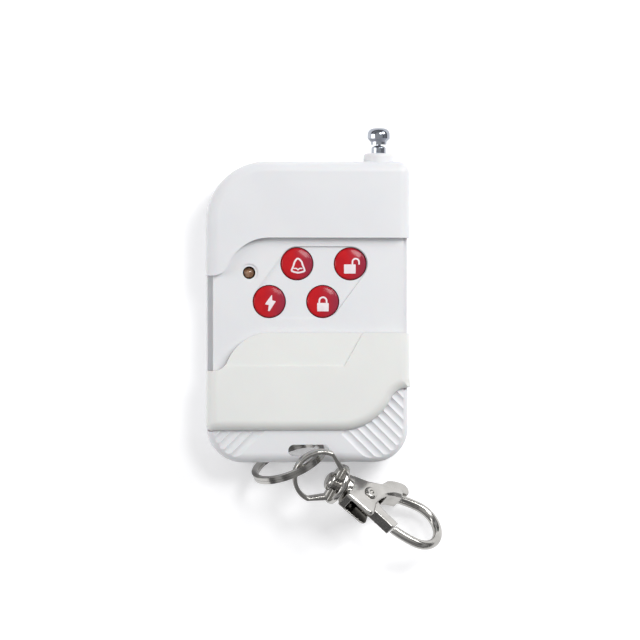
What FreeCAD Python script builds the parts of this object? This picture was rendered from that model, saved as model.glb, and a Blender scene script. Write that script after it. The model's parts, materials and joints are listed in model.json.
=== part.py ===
import FreeCAD, Part

import math
import os
import re

import Sketcher
from FreeCAD import Placement, Rotation, Vector

# A pocket remote control for a garage door. It lies on its back: +Z comes out of the button side,
# +Y points to the antenna, and the origin is the centre of the flat back. Lengths are millimetres.

SIZES = [
    ("hood_width", 50.0, "across the hood and the slide cover"),
    ("hood_overhang", 0.35, "hood and cover beyond the two shells, each side"),
    ("rail_depth", 1.6, "deck that the cover runs on, set in from the hood, each side"),
    ("rail_wall", 1.2, "wall behind the groove of the cover's lip"),
    ("body_length", 74.0, "from the key ring end to the antenna end"),
    ("corner_big", 14.75, "plan radius, antenna end, left"),
    ("corner_small", 2.9, "plan radius, antenna end, right"),
    ("corner_low", 8.5, "plan radius, both corners of the key ring end"),
    ("parting_height", 6.5, "where the rear and front shells meet"),
    ("deck_height", 12.6, "button deck above the back"),
    ("hood_height", 14.6, "hood and slide cover above the back"),
    ("ledge_height", 8.2, "side ledge under the skirts of the cover"),
    ("wall", 1.5, "side walls"),
    ("floor_wall", 1.4, "back wall"),
    ("deck_wall", 1.4, "wall under the deck and the hood"),
    ("hood_edge_round", 2.6, "rounded upper edge of the hood and cover"),
    ("low_edge_round", 2.4, "rounded upper edge at the key ring end"),
    ("rear_edge_round", 1.6, "rounded edge of the back"),
    ("hood_edge_y", 18.2, "straight lower edge of the hood"),
    ("ogee_start_x", 9.75, "where the edge starts to curve, left of centre"),
    ("ogee_drop", 9.3, "how far the curved edge falls"),
    ("ogee_big", 11.0, "outer radius of the curved edge"),
    ("ogee_foot", 3.85, "reversed radius of the curved edge"),
    ("cover_gap", 0.2, "cover to hood edge when closed"),
    ("cover_travel", 23.2, "slide of the cover"),
    ("cover_foot_y", 29.2, "lower edge of the open cover, below centre"),
    ("tail_start_x", 7.8, "where the lower edge starts to curve"),
    ("tail_drop", 10.6, "how far the lower edge rises at the right"),
    ("tail_big", 14.0, "outer radius of the lower edge"),
    ("tail_foot", 5.0, "reversed radius of the lower edge"),
    ("cover_corner", 1.4, "plan radius, lower left of the cover"),
    ("cover_lift", 0.3, "cover above the deck"),
    ("skirt_clear", 0.2, "cover to deck sides and ledge"),
    ("lip_reach", 0.7, "inward lip that holds the cover on"),
    ("lip_height", 1.0, "thickness of that lip"),
    ("thumb_depth", 0.35, "thumb recess in the cover"),
    ("thumb_foot_y", 8.1, "length of the thumb recess"),
    ("panel_depth", 0.5, "recess around the four buttons"),
    ("button_width", 7.8, "button diameter"),
    ("button_clear", 0.2, "button to its hole, radial"),
    ("button_top", 12.7, "crown of a button above the back"),
    ("button_travel", 0.5, "press of a button"),
    ("button_pitch", 13.15, "between the two buttons of a row"),
    ("row_step_x", 6.8, "shift of the lower row to the left"),
    ("top_row_x", 2.85, "bell button, left of centre"),
    ("top_row_y", 11.8, "upper row above centre"),
    ("low_row_y", 2.53, "lower row above centre"),
    ("led_x", 14.6, "lamp, left of centre"),
    ("led_y", 9.6, "lamp above centre"),
    ("led_width", 2.9, "lamp diameter"),
    ("led_clear", 0.1, "lamp to its hole, radial"),
    ("led_dish", 4.4, "shallow dish around the lamp"),
    ("slot_y", 34.05, "key ring slot below centre, at the front"),
    ("slot_half", 5.0, "half length of the slot"),
    ("slot_height", 2.8, "height of the slot at the front"),
    ("slot_flare", 2.2, "how much wider the slot is at its rear"),
    ("scoop_half", 15.5, "half width of the finger scoop behind the slot"),
    ("scoop_top_y", 29.8, "upper end of the scoop, below centre"),
    ("scoop_height", 8.4, "roof of the scoop above the back"),
    ("rib_pitch", 1.9, "between the grip grooves"),
    ("rib_radius", 1.6, "radius of a grip groove"),
    ("rib_depth", 0.36, "depth of a grip groove"),
    ("board_height", 5.4, "upper face of the circuit board"),
    ("board_thick", 1.0, "circuit board"),
    ("board_gap", 0.9, "board to the deck's inner walls"),
    ("board_low", 9.0, "lower edge of the board, below centre"),
    ("board_high", 26.5, "upper edge of the board, above centre"),
    ("board_corner", 6.0, "plan radius of the board, upper left"),
    ("post_width", 3.2, "posts under the board"),
    ("post_inset", 2.6, "posts from the edges of the board"),
    ("chip_row", 5.5, "encoder chip below the upper edge of the board"),
    ("chip_length", 10.0, "encoder chip"),
    ("chip_width", 3.9, "encoder chip"),
    ("small_length", 2.0, "resistors and capacitors"),
    ("small_width", 1.25, "resistors and capacitors"),
    ("switch_width", 6.0, "tact switch, square"),
    ("switch_height", 3.5, "tact switch body"),
    ("plunger_width", 3.4, "tact switch plunger"),
    ("plunger_rise", 0.8, "plunger above its body"),
    ("battery_width", 8.0, "12 V cell, diameter"),
    ("battery_length", 28.2, "12 V cell"),
    ("battery_y", 17.6, "cell below centre"),
    ("battery_clear", 0.3, "cell to the back wall"),
    ("spring_room", 3.0, "cell to the wall behind its spring"),
    ("plate_room", 1.1, "cell to the wall behind its plate"),
    ("door_margin", 0.2, "battery opening, short of the wall behind the plate"),
    ("door_low_y", 25.6, "lower edge of the battery door, below centre"),
    ("door_high_y", 9.9, "hinge edge of the battery door, below centre"),
    ("door_gap", 0.15, "battery door to the back wall"),
    ("screw_side", 5.5, "lower case screws to the side of the hood"),
    ("screw_y", 32.0, "case screws from centre"),
    ("screw_top_x", 9.0, "upper case screws from centre"),
    ("screw_width", 2.2, "case screw shank"),
    ("screw_head", 4.0, "case screw head"),
    ("antenna_side", 7.5, "antenna to the right side of the hood"),
    ("antenna_z", 9.6, "antenna above the back"),
    ("collar_width", 7.5, "collar of the antenna"),
    ("collar_end_y", 39.05, "end of the collar"),
    ("tube_width", 3.6, "outer antenna tube"),
    ("tube_wall", 0.25, "wall of the antenna tubes"),
    ("tube_fit", 0.08, "radial fit between antenna tubes"),
    ("tube_end_y", 40.7, "mouth of the outer antenna tube"),
    ("tube_length", 42.0, "each antenna section"),
    ("knob_width", 5.6, "antenna knob"),
    ("knob_length", 4.1, "antenna knob"),
    ("ring_width", 19.0, "split ring, outer diameter"),
    ("ring_wire", 1.2, "split ring wire, radial"),
    ("ring_turn", 0.8, "split ring wire, axial"),
    ("ring_gap", 0.06, "between the two turns"),
    ("ring_x", 4.7, "split ring centre, left of centre"),
    ("ring_y", 36.9, "split ring centre, below centre"),
    ("ring_turned", 23.5, "degrees that the ring is turned about Z"),
    ("ring_lean", 17.5, "degrees that the ring leans to the slot"),
    ("chain_x", 7.0, "swivel flange, right of centre"),
    ("chain_y", 42.3, "swivel flange, below centre"),
    ("chain_z", 13.2, "swivel flange above the floor"),
    ("chain_yaw", 25.0, "degrees that the clasp turns down to the right"),
    ("chain_slope", 15.0, "degrees that the clasp slopes to the floor"),
    ("chain_lean", 48.0, "degrees that the clasp leans on its spine"),
    ("eye_lean", 12.0, "degrees that the eye is turned about the swivel"),
    ("eye_width", 13.8, "swivel eye, across the loop"),
    ("eye_reach", 5.0, "centre of the loop behind the flange"),
    ("strap_wide", 2.2, "strap of the swivel eye"),
    ("strap_thick", 1.1, "strap of the swivel eye"),
    ("flange_width", 10.4, "swivel flange"),
    ("flange_thick", 1.2, "swivel flange"),
    ("stem_width", 3.2, "swivel stem of the clasp"),
    ("stem_fit", 0.08, "radial fit of the stem in the eye"),
    ("cheek_span", 5.0, "over both cheeks of the clasp"),
    ("cheek_gap", 3.3, "between the cheeks"),
    ("body_start", 1.7, "body of the clasp from the flange"),
    ("pivot_x", 8.2, "rivet from the flange, along the clasp"),
    ("pivot_y", 0.5, "rivet to the gate side of the axis"),
    ("rivet_width", 1.8, "rivet shank"),
    ("rivet_head", 3.4, "rivet head"),
    ("rivet_fit", 0.06, "radial fit of the lever on the rivet"),
    ("cheek_depth", 6.6, "rivet to the gate side edge of the cheeks"),
    ("spine_back", 3.0, "spine side edge of the body at the barrel, from the axis"),
    ("body_bevel", 0.55, "bevelled edges of the clasp's body"),
    ("hook_wire", 2.4, "thickness of the hook"),
    ("hook_centre_x", 23.0, "centre of the hook's bend"),
    ("hook_bend", 6.15, "radius of the hook's bend, on its centreline"),
    ("hook_offset", 1.25, "centre of the bend to the gate side of the axis"),
    ("hook_reach", 7.0, "hook's tip and root, back from the centre of its bend"),
    ("gate_reach", 10.0, "gate end from the rivet"),
    ("gate_gap", 0.2, "gate end to the hook's tip"),
    ("tab_reach", 12.6, "end of the thumb tab from the rivet"),
    ("lever_fit", 0.15, "lever to each cheek"),
]

doc = FreeCAD.newDocument("garage_door_remote")
sheet = doc.addObject("Spreadsheet::Sheet", "Sizes")
for row, (alias, value, meaning) in enumerate(SIZES, start=1):
    sheet.set("A%d" % row, alias)
    sheet.set("B%d" % row, str(value))
    sheet.set("C%d" % row, meaning)
    sheet.setAlias("B%d" % row, alias)
doc.recompute()

ALIASES = {entry[0] for entry in SIZES}
parts = []


def linked(text):
    """Write Sizes. before each alias in an expression."""
    def put(match):
        word = match.group(0)
        return "Sizes." + word if word in ALIASES else word
    return re.sub(r"[a-z][a-z_]*", put, str(text))


def val(text):
    """The number that an expression of the sheet's aliases gives."""
    return float(sheet.evalExpression(linked(text)))


def bind(thing, prop, text):
    thing.setExpression(prop, linked(text))


def keep(thing, label):
    """Name a finished piece; its label is the name of its file."""
    thing.Label = label
    parts.append(thing)
    return thing


# Sketches and features

def new_body(label, x="0", y="0", z="0", rotation=None):
    body = doc.addObject("PartDesign::Body", label)
    if rotation is not None:
        body.Placement = Placement(Vector(0, 0, 0), rotation)
    for axis, text in (("x", x), ("y", y), ("z", z)):
        if text != "0":
            bind(body, "Placement.Base." + axis, text)
    return keep(body, label)


def new_sketch(body, plane="XY_Plane", x="0", y="0", z="0", turn=None):
    """A sketch on a plane of its body; x, y, z move it in the plane's own axes."""
    drawn = body.newObject("Sketcher::SketchObject", body.Label + "_sketch")
    support = [item for item in body.Origin.OriginFeatures if item.Role == plane][0]
    drawn.AttachmentSupport = (support, [""])
    drawn.MapMode = "FlatFace"
    if turn is not None:
        drawn.AttachmentOffset = Placement(Vector(0, 0, 0), turn)
    for axis, text in (("x", x), ("y", y), ("z", z)):
        if text != "0":
            bind(drawn, "AttachmentOffset.Base." + axis, text)
    return drawn


def hold(drawn, kind, geometry, place, text):
    """Tie a point's distance from the sketch's origin to an expression."""
    number = drawn.addConstraint(Sketcher.Constraint(kind, -1, 1, geometry, place, val(text)))
    drawn.setExpression("Constraints[%d]" % number, linked(text))


def circle(drawn, x, y, radius):
    centre = Vector(val(x), val(y), 0)
    number = drawn.addGeometry(Part.Circle(centre, Vector(0, 0, 1), val(radius)))
    hold(drawn, "DistanceX", number, 3, x)
    hold(drawn, "DistanceY", number, 3, y)
    rule = drawn.addConstraint(Sketcher.Constraint("Radius", number, val(radius)))
    drawn.setExpression("Constraints[%d]" % rule, linked(radius))


def outline(drawn, corners, closed=True):
    """Runs through corners (x, y); (x, y, radius, turn) makes the next run an arc, turn 1 anticlockwise."""
    points = [Vector(val(corner[0]), val(corner[1]), 0) for corner in corners]
    count = len(corners) if closed else len(corners) - 1
    first = []
    last = []
    for i in range(count):
        start = points[i]
        end = points[(i + 1) % len(points)]
        if len(corners[i]) == 2:
            number = drawn.addGeometry(Part.LineSegment(start, end))
            first.append((number, 1))
            last.append((number, 2))
            continue
        radius = val(corners[i][2])
        turn = corners[i][3]
        chord = end.sub(start)
        rise = math.sqrt(max(radius ** 2 - (chord.Length / 2) ** 2, 0.0))
        left = Vector(-chord.y, chord.x, 0).normalize()
        centre = start.add(chord * 0.5).add(left * (rise * turn))
        from_point, to_point = (start, end) if turn > 0 else (end, start)
        begin = math.atan2(from_point.y - centre.y, from_point.x - centre.x)
        finish = math.atan2(to_point.y - centre.y, to_point.x - centre.x)
        round_part = Part.Circle(centre, Vector(0, 0, 1), radius)
        number = drawn.addGeometry(Part.ArcOfCircle(round_part, begin, finish))
        first.append((number, 1 if turn > 0 else 2))
        last.append((number, 2 if turn > 0 else 1))
        rule = drawn.addConstraint(Sketcher.Constraint("Radius", number, radius))
        drawn.setExpression("Constraints[%d]" % rule, linked(corners[i][2]))
    for i in range(count):
        geometry, place = first[i]
        if closed or i > 0:
            drawn.addConstraint(Sketcher.Constraint("Coincident", *last[i - 1], geometry, place))
        hold(drawn, "DistanceX", geometry, place, corners[i][0])
        hold(drawn, "DistanceY", geometry, place, corners[i][1])
    if not closed:
        hold(drawn, "DistanceX", *last[-1], corners[-1][0])
        hold(drawn, "DistanceY", *last[-1], corners[-1][1])


def volume(body):
    doc.recompute()
    return body.Shape.Volume


def pad(drawn, length, down=False, both=False):
    body = drawn.getParentGeoFeatureGroup()
    feature = body.newObject("PartDesign::Pad", body.Label + "_pad")
    feature.Profile = drawn
    bind(feature, "Length", length)
    feature.Reversed = down
    feature.Midplane = both
    return feature


def pocket(drawn, length, up=False, both=False):
    """Cut along the sketch's normal, down unless up; stops the build when nothing is cut."""
    body = drawn.getParentGeoFeatureGroup()
    before = volume(body)
    feature = body.newObject("PartDesign::Pocket", body.Label + "_pocket")
    feature.Profile = drawn
    bind(feature, "Length", length)
    feature.Reversed = up
    feature.Midplane = both
    if volume(body) >= before:
        raise ValueError(feature.Name + " cuts nothing")
    return feature


def edge_work(kind, body, prop, text, chosen):
    """Round or bevel the edges of the body's last feature that chosen(edge) picks."""
    doc.recompute()
    base = body.Tip
    names = ["Edge%d" % (i + 1) for i, edge in enumerate(base.Shape.Edges) if chosen(edge)]
    feature = body.newObject("PartDesign::" + kind, body.Label + "_" + kind.lower())
    feature.Base = (base, names)
    bind(feature, prop, text)
    return feature


def fillet(body, radius, chosen):
    return edge_work("Fillet", body, "Radius", radius, chosen)


def chamfer(body, size, chosen):
    return edge_work("Chamfer", body, "Size", size, chosen)


def turned(label, corners, x="0", y="0", z="0", rotation=None):
    """A turned piece: corners give radius and place along its own Y axis."""
    body = new_body(label, x, y, z, rotation)
    drawn = new_sketch(body)
    outline(drawn, corners)
    revolve(drawn)
    return body


def revolve(drawn):
    body = drawn.getParentGeoFeatureGroup()
    feature = body.newObject("PartDesign::Revolution", body.Label + "_turned")
    feature.Profile = drawn
    feature.ReferenceAxis = (drawn, ["V_Axis"])
    feature.Angle = 360.0
    return feature


def at_height(edge, height):
    box = edge.BoundBox
    return abs(box.ZMin - height) < 0.01 and abs(box.ZMax - height) < 0.01


# Primitives

def block(label, x, y, z, size_x, size_y, size_z):
    """A box from its lowest corner."""
    thing = doc.addObject("Part::Box", label)
    for prop, text in (("Length", size_x), ("Width", size_y), ("Height", size_z),
                       ("Placement.Base.x", x), ("Placement.Base.y", y), ("Placement.Base.z", z)):
        bind(thing, prop, text)
    return thing


ALONG_Y = Rotation(Vector(1, 0, 0), -90)
ALONG_X = Rotation(Vector(0, 1, 0), 90)
TURNED_UP = Rotation(Vector(1, 0, 0), 90)


def rod(label, x, y, z, radius, height, rotation=None):
    """A cylinder from the centre of its first face, along Z unless it is turned."""
    thing = doc.addObject("Part::Cylinder", label)
    if rotation is not None:
        thing.Placement = Placement(Vector(0, 0, 0), rotation)
    for prop, text in (("Radius", radius), ("Height", height),
                       ("Placement.Base.x", x), ("Placement.Base.y", y), ("Placement.Base.z", z)):
        bind(thing, prop, text)
    return thing


def joined(label, pieces):
    thing = doc.addObject("Part::MultiFuse", label)
    thing.Shapes = pieces
    return thing


def group(label, pieces):
    """Like pieces that stay separate solids in one node."""
    thing = doc.addObject("Part::Compound", label)
    thing.Links = pieces
    return thing


def minus(label, base, tool):
    thing = doc.addObject("Part::Cut", label)
    thing.Base = base
    thing.Tool = tool
    return thing


# Outlines that several pieces share

OGEE_SUM = "(ogee_big + ogee_foot)"
OGEE_RUN = f"sqrt({OGEE_SUM}^2 - ({OGEE_SUM} - ogee_drop)^2)"
OGEE_PART = f"(ogee_big / {OGEE_SUM})"
TAIL_SUM = "(tail_big + tail_foot)"
TAIL_RUN = f"sqrt({TAIL_SUM}^2 - ({TAIL_SUM} - tail_drop)^2)"
TAIL_PART = f"(tail_big / {TAIL_SUM})"
HOOD_HALF = "(hood_width / 2)"
BASE_HALF = "(hood_width / 2 - hood_overhang)"
DECK_HALF = "(hood_width / 2 - rail_depth)"
ANTENNA_X = "(hood_width / 2 - antenna_side)"
BODY_HALF = "(body_length / 2)"
COVER_TOP = "(hood_edge_y - cover_gap - cover_travel)"


def ogee(edge_y):
    """The curved edge from the straight part down to its foot, as seen from +X to -X."""
    middle_x = f"-ogee_start_x - {OGEE_RUN} * {OGEE_PART}"
    middle_y = f"{edge_y} - ogee_big + ({OGEE_SUM} - ogee_drop) * {OGEE_PART}"
    return [("-ogee_start_x", edge_y, "ogee_big", 1),
            (middle_x, middle_y, "ogee_foot", -1),
            (f"-ogee_start_x - {OGEE_RUN}", f"{edge_y} - ogee_drop")]


def housing_plan(half, inset="0"):
    """The plan of the housing with its one large corner; inset draws it smaller."""
    x = f"({half} - {inset})"
    y = f"({BODY_HALF} - {inset})"
    low = f"(corner_low - {inset})"
    small = f"(corner_small - {inset})"
    big = f"(corner_big - {inset})"
    return [(f"-{x} + {low}", f"-{y}"),
            (f"{x} - {low}", f"-{y}", low, 1),
            (x, f"-{y} + {low}"),
            (x, f"{y} - {small}", small, 1),
            (f"{x} - {small}", y),
            (f"-{x} + {big}", y, big, 1),
            (f"-{x}", f"{y} - {big}"),
            (f"-{x}", f"-{y} + {low}", low, 1)]


def hood_plan():
    """The hood: the antenna end of the plan, cut off along the curved edge."""
    x = HOOD_HALF
    y = BODY_HALF
    return [(x, "hood_edge_y"),
            (x, f"{y} - corner_small", "corner_small", 1),
            (f"{x} - corner_small", y),
            (f"-{x} + corner_big", y, "corner_big", 1),
            (f"-{x}", f"{y} - corner_big"),
            (f"-{x}", "hood_edge_y - ogee_drop"),
            (f"-ogee_start_x - {OGEE_RUN}", "hood_edge_y - ogee_drop", "ogee_foot", 1),
            (ogee("hood_edge_y")[1][0], ogee("hood_edge_y")[1][1], "ogee_big", -1),
            ("-ogee_start_x", "hood_edge_y")]


def cover_plan():
    """The slide cover: the same curved edge above, and a longer one below at the right."""
    x = HOOD_HALF
    foot = "-cover_foot_y"
    middle_x = f"tail_start_x + {TAIL_RUN} * {TAIL_PART}"
    middle_y = f"{foot} + tail_big - ({TAIL_SUM} - tail_drop) * {TAIL_PART}"
    return [(f"-{x} + cover_corner", foot),
            ("tail_start_x", foot, "tail_big", 1),
            (middle_x, middle_y, "tail_foot", -1),
            (f"tail_start_x + {TAIL_RUN}", f"{foot} + tail_drop"),
            (x, f"{foot} + tail_drop"),
            (x, COVER_TOP)] + ogee(COVER_TOP) + [
            (f"-{x}", f"{COVER_TOP} - ogee_drop"),
            (f"-{x}", f"{foot} + cover_corner", "cover_corner", 1)]


def slot_plan(drawn, half, height, y):
    """A slot with round ends."""
    radius = f"({height} / 2)"
    low = f"{y} - {radius}"
    high = f"{y} + {radius}"
    outline(drawn, [(f"-{half} + {radius}", low),
                    (f"{half} - {radius}", low, radius, 1),
                    (half, y, radius, 1),
                    (f"{half} - {radius}", high),
                    (f"-{half} + {radius}", high, radius, 1),
                    (f"-{half}", y, radius, 1)])


def rectangle(drawn, x_low, y_low, x_high, y_high):
    outline(drawn, [(x_low, y_low), (x_high, y_low), (x_high, y_high), (x_low, y_high)])


BUTTONS = [
    ("bell", "(0 - top_row_x)", "top_row_y"),
    ("unlock", "(button_pitch - top_row_x)", "top_row_y"),
    ("bolt", "(0 - top_row_x - row_step_x)", "low_row_y"),
    ("lock", "(button_pitch - top_row_x - row_step_x)", "low_row_y"),
]
PANEL_FLOOR = "(deck_height - panel_depth)"
DECK_CEILING = "(deck_height - deck_wall)"
HOOD_CEILING = "(hood_height - deck_wall)"
CAVITY_HALF = f"({DECK_HALF} - lip_reach - rail_wall)"
CAVITY_LOW = "(0 - scoop_top_y + floor_wall)"
SCREW_X = f"({HOOD_HALF} - screw_side)"
SCREWS = [(f"-{SCREW_X}", "-screw_y"), (SCREW_X, "-screw_y"),
          ("-screw_top_x", "screw_y"), ("screw_top_x", "screw_y")]
SCREW_TIP = "(parting_height + 4)"


def panel_plan(drawn):
    """The recess around the buttons: four round corners joined by straight tangents."""
    radius = "(button_width / 2 + 0.4)"
    step_y = "(top_row_y - low_row_y)"
    slant = f"sqrt(row_step_x^2 + {step_y}^2)"
    out_x = f"({radius} * {step_y} / {slant})"
    out_y = f"({radius} * row_step_x / {slant})"
    bell, unlock, bolt, lock = [(entry[1], entry[2]) for entry in BUTTONS]
    outline(drawn, [
        (bolt[0], f"{bolt[1]} - {radius}"),
        (lock[0], f"{lock[1]} - {radius}", radius, 1),
        (f"{lock[0]} + {out_x}", f"{lock[1]} - {out_y}"),
        (f"{unlock[0]} + {out_x}", f"{unlock[1]} - {out_y}", radius, 1),
        (unlock[0], f"{unlock[1]} + {radius}"),
        (bell[0], f"{bell[1]} + {radius}", radius, 1),
        (f"{bell[0]} - {out_x}", f"{bell[1]} + {out_y}"),
        (f"{bolt[0]} - {out_x}", f"{bolt[1]} + {out_y}", radius, 1)])


# Rear shell: a tray with the battery opening, board posts and screw holes

rear = new_body("rear_shell")
drawn = new_sketch(rear)
outline(drawn, housing_plan(BASE_HALF))
pad(drawn, "parting_height")
fillet(rear, "rear_edge_round", lambda edge: at_height(edge, 0.0))

drawn = new_sketch(rear, z="parting_height")
inner = [corner for corner in housing_plan(BASE_HALF, "wall")]
inner[0] = (f"-({BASE_HALF} - wall)", CAVITY_LOW)
inner[1] = (f"{BASE_HALF} - wall", CAVITY_LOW)
outline(drawn, inner[:2] + inner[3:7])
pocket(drawn, "parting_height - floor_wall")

drawn = new_sketch(rear)
rectangle(drawn, "-scoop_half", f"-{BODY_HALF} - 1", "scoop_half", "-scoop_top_y")
pocket(drawn, "parting_height", up=True)
fillet(rear, "wall", lambda edge: edge.BoundBox.ZLength > 4 and edge.BoundBox.XLength < 0.01
       and abs(abs(edge.BoundBox.XMin) - val("scoop_half")) < 0.01
       and abs(edge.BoundBox.YMin + val("scoop_top_y")) < 0.01)

drawn = new_sketch(rear)
DOOR_HALF = "(battery_length / 2 + plate_room - door_margin)"
rectangle(drawn, f"-{DOOR_HALF}", "-door_low_y", DOOR_HALF, "-door_high_y")
pocket(drawn, "floor_wall", up=True)

# Cradle walls that carry the cell's contacts
SPRING_WALL = "(battery_length / 2 + spring_room)"
PLATE_WALL = "(battery_length / 2 + plate_room)"
for side, wall_x in (("-", SPRING_WALL), ("", PLATE_WALL)):
    drawn = new_sketch(rear, z="floor_wall")
    near = f"{side}{wall_x}"
    far = f"{side}({wall_x} + 1.2)"
    ends = (far, near) if side else (near, far)
    rectangle(drawn, ends[0], "-battery_y - battery_width / 2", ends[1], "-battery_y + battery_width / 2")
    pad(drawn, "parting_height - floor_wall")

# Posts under the board, and bosses round the upper screws
BOARD_HALF = f"({CAVITY_HALF} - board_gap)"
POST_X = f"({BOARD_HALF} - post_inset)"
POSTS = [(f"-{POST_X}", "-board_low + post_inset"), (POST_X, "-board_low + post_inset"),
         (f"-{POST_X}", "board_high - board_corner"), (POST_X, "board_high - post_inset")]
drawn = new_sketch(rear, z="floor_wall")
for x, y in POSTS:
    circle(drawn, x, y, "post_width / 2")
pad(drawn, "board_height - board_thick - floor_wall")
drawn = new_sketch(rear, z="floor_wall")
for x, y in SCREWS[2:]:
    circle(drawn, x, y, "screw_head / 2 + 0.9")
pad(drawn, "parting_height - floor_wall")
drawn = new_sketch(rear)
for x, y in SCREWS:
    circle(drawn, x, y, "screw_width / 2 + 0.1")
pocket(drawn, "parting_height", up=True)
drawn = new_sketch(rear)
for x, y in SCREWS:
    circle(drawn, x, y, "screw_head / 2 + 0.2")
pocket(drawn, "2.2", up=True)

# Battery door: a lid with two tabs that tuck inside the back wall

door = new_body("battery_door")
drawn = new_sketch(door, z="0.2")
rectangle(drawn, f"-{DOOR_HALF} + door_gap", "-door_low_y + door_gap",
          f"{DOOR_HALF} - door_gap", "-door_high_y - door_gap")
pad(drawn, "floor_wall - 0.2")
drawn = new_sketch(door, z="floor_wall - 0.6")
for centre in ("-9", "9"):
    rectangle(drawn, f"{centre} - 2.5", "-door_high_y - 2", f"{centre} + 2.5", "-door_high_y - door_gap")
pad(drawn, "1.7")
drawn = new_sketch(door, z="floor_wall + 0.2")
for centre in ("-9", "9"):
    rectangle(drawn, f"{centre} - 2.5", "-door_high_y - 2", f"{centre} + 2.5", "-door_high_y + 1.1")
pad(drawn, "0.9")
drawn = new_sketch(door, z="0.2")
for step in range(5):
    low = f"-door_low_y + 2.2 + {step} * 1.3"
    rectangle(drawn, "-5", low, "5", f"{low} + 0.6")
pocket(drawn, "0.4", up=True)

# Front shell: deck, hood, side ledges, button panel, slot and collar

front = new_body("front_shell")
drawn = new_sketch(front, z="parting_height")
outline(drawn, housing_plan(BASE_HALF))
pad(drawn, "deck_height - parting_height")
fillet(front, "low_edge_round", lambda edge: at_height(edge, val("deck_height")))

drawn = new_sketch(front, z="parting_height")
rectangle(drawn, f"-{DECK_HALF}", "-cover_foot_y + 0.4", DECK_HALF, "hood_edge_y + 2")
pad(drawn, "deck_height - parting_height")

drawn = new_sketch(front, z="parting_height")
outline(drawn, hood_plan())
pad(drawn, "hood_height - parting_height")


def on_hood_rim(edge):
    """The outer upper edge of the hood, without the edge that faces the cover."""
    if not at_height(edge, val("hood_height")):
        return False
    middle = edge.valueAt((edge.FirstParameter + edge.LastParameter) / 2)
    outer_x = abs(abs(middle.x) - val(HOOD_HALF)) < 0.01
    outer_y = abs(middle.y - val(BODY_HALF)) < 0.01
    in_corner = middle.y > val(f"{BODY_HALF} - corner_big") and edge.BoundBox.XLength > 1
    return outer_x or outer_y or in_corner or middle.y > val(f"{BODY_HALF} - corner_small")


fillet(front, "hood_edge_round", on_hood_rim)

drawn = new_sketch(front, z="parting_height")
rectangle(drawn, f"-{CAVITY_HALF}", CAVITY_LOW, CAVITY_HALF, "hood_edge_y + wall")
pocket(drawn, f"{DECK_CEILING} - parting_height", up=True)
drawn = new_sketch(front, z="parting_height")
hood_inner = housing_plan(HOOD_HALF, "wall + 0.3")[3:7]
outline(drawn, [(f"-({HOOD_HALF} - wall - 0.3)", "hood_edge_y + wall"),
                (f"{HOOD_HALF} - wall - 0.3", "hood_edge_y + wall")] + hood_inner)
pocket(drawn, f"{HOOD_CEILING} - parting_height", up=True)

# Side rails for the cover: a ledge with a groove for its lip
GROOVE_TOP = "(ledge_height + lip_height + 2 * skirt_clear)"
GROOVE_X = f"({DECK_HALF} - lip_reach)"
for side, low, high in (("-", "-cover_foot_y - 0.2", "hood_edge_y - ogee_drop"),
                        ("", "-cover_foot_y + tail_drop - 0.6", "hood_edge_y")):
    drawn = new_sketch(front, "XZ_Plane", z=f"-({high})")
    corners = [(f"{side}{GROOVE_X}", "ledge_height"), (f"{side}({HOOD_HALF} + 1)", "ledge_height"),
               (f"{side}({HOOD_HALF} + 1)", "hood_height + 1"), (f"{side}{DECK_HALF}", "hood_height + 1"),
               (f"{side}{DECK_HALF}", GROOVE_TOP), (f"{side}{GROOVE_X}", GROOVE_TOP)]
    outline(drawn, corners)
    pocket(drawn, f"{high} - ({low})", up=True)

# Button panel with its four holes, and the lamp's dish and hole
drawn = new_sketch(front, z="deck_height")
panel_plan(drawn)
pocket(drawn, "panel_depth")
drawn = new_sketch(front, z=PANEL_FLOOR)
for name, x, y in BUTTONS:
    circle(drawn, x, y, "button_width / 2 + button_clear")
pocket(drawn, "deck_wall")
drawn = new_sketch(front, z="deck_height")
circle(drawn, "-led_x", "led_y", "led_dish / 2")
pocket(drawn, "0.25")
drawn = new_sketch(front, z="deck_height")
circle(drawn, "-led_x", "led_y", "led_width / 2 + led_clear")
pocket(drawn, "deck_wall")

# Finger scoop behind the key ring slot, and the slot, which widens to the rear
drawn = new_sketch(front, z="parting_height")
rectangle(drawn, "-scoop_half", f"-{BODY_HALF} - 1", "scoop_half", "-scoop_top_y")
pocket(drawn, "scoop_height - parting_height", up=True)
mouth = new_sketch(front, z="deck_height + 0.1")
slot_plan(mouth, "slot_half", "slot_height", "-slot_y")
rear_mouth = new_sketch(front, z="scoop_height - 0.1")
slot_plan(rear_mouth, "(slot_half + 0.3)", "(slot_height + slot_flare)", "(0 - slot_y + slot_flare / 2)")
tunnel = front.newObject("PartDesign::SubtractiveLoft", "slot_tunnel")
tunnel.Profile = mouth
tunnel.Sections = [rear_mouth]
tunnel.Ruled = True

# Grip grooves on both lower corners, rolled at 45 degrees
RIB_Z = "deck_height + rib_radius - rib_depth"
for side, first_groove, count in ((1, "-20.6 / sqrt(2)", 11), (-1, "17 / sqrt(2)", 7)):
    turn = Rotation(Vector(0, 1, 0), 45 * side)
    drawn = new_sketch(front, "XZ_Plane", x=f"{side} * 19", z="19", turn=turn)
    for step in range(count):
        circle(drawn, f"{first_groove} + {side * step} * rib_pitch", RIB_Z, "rib_radius")
    pocket(drawn, "30", up=True)

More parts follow.
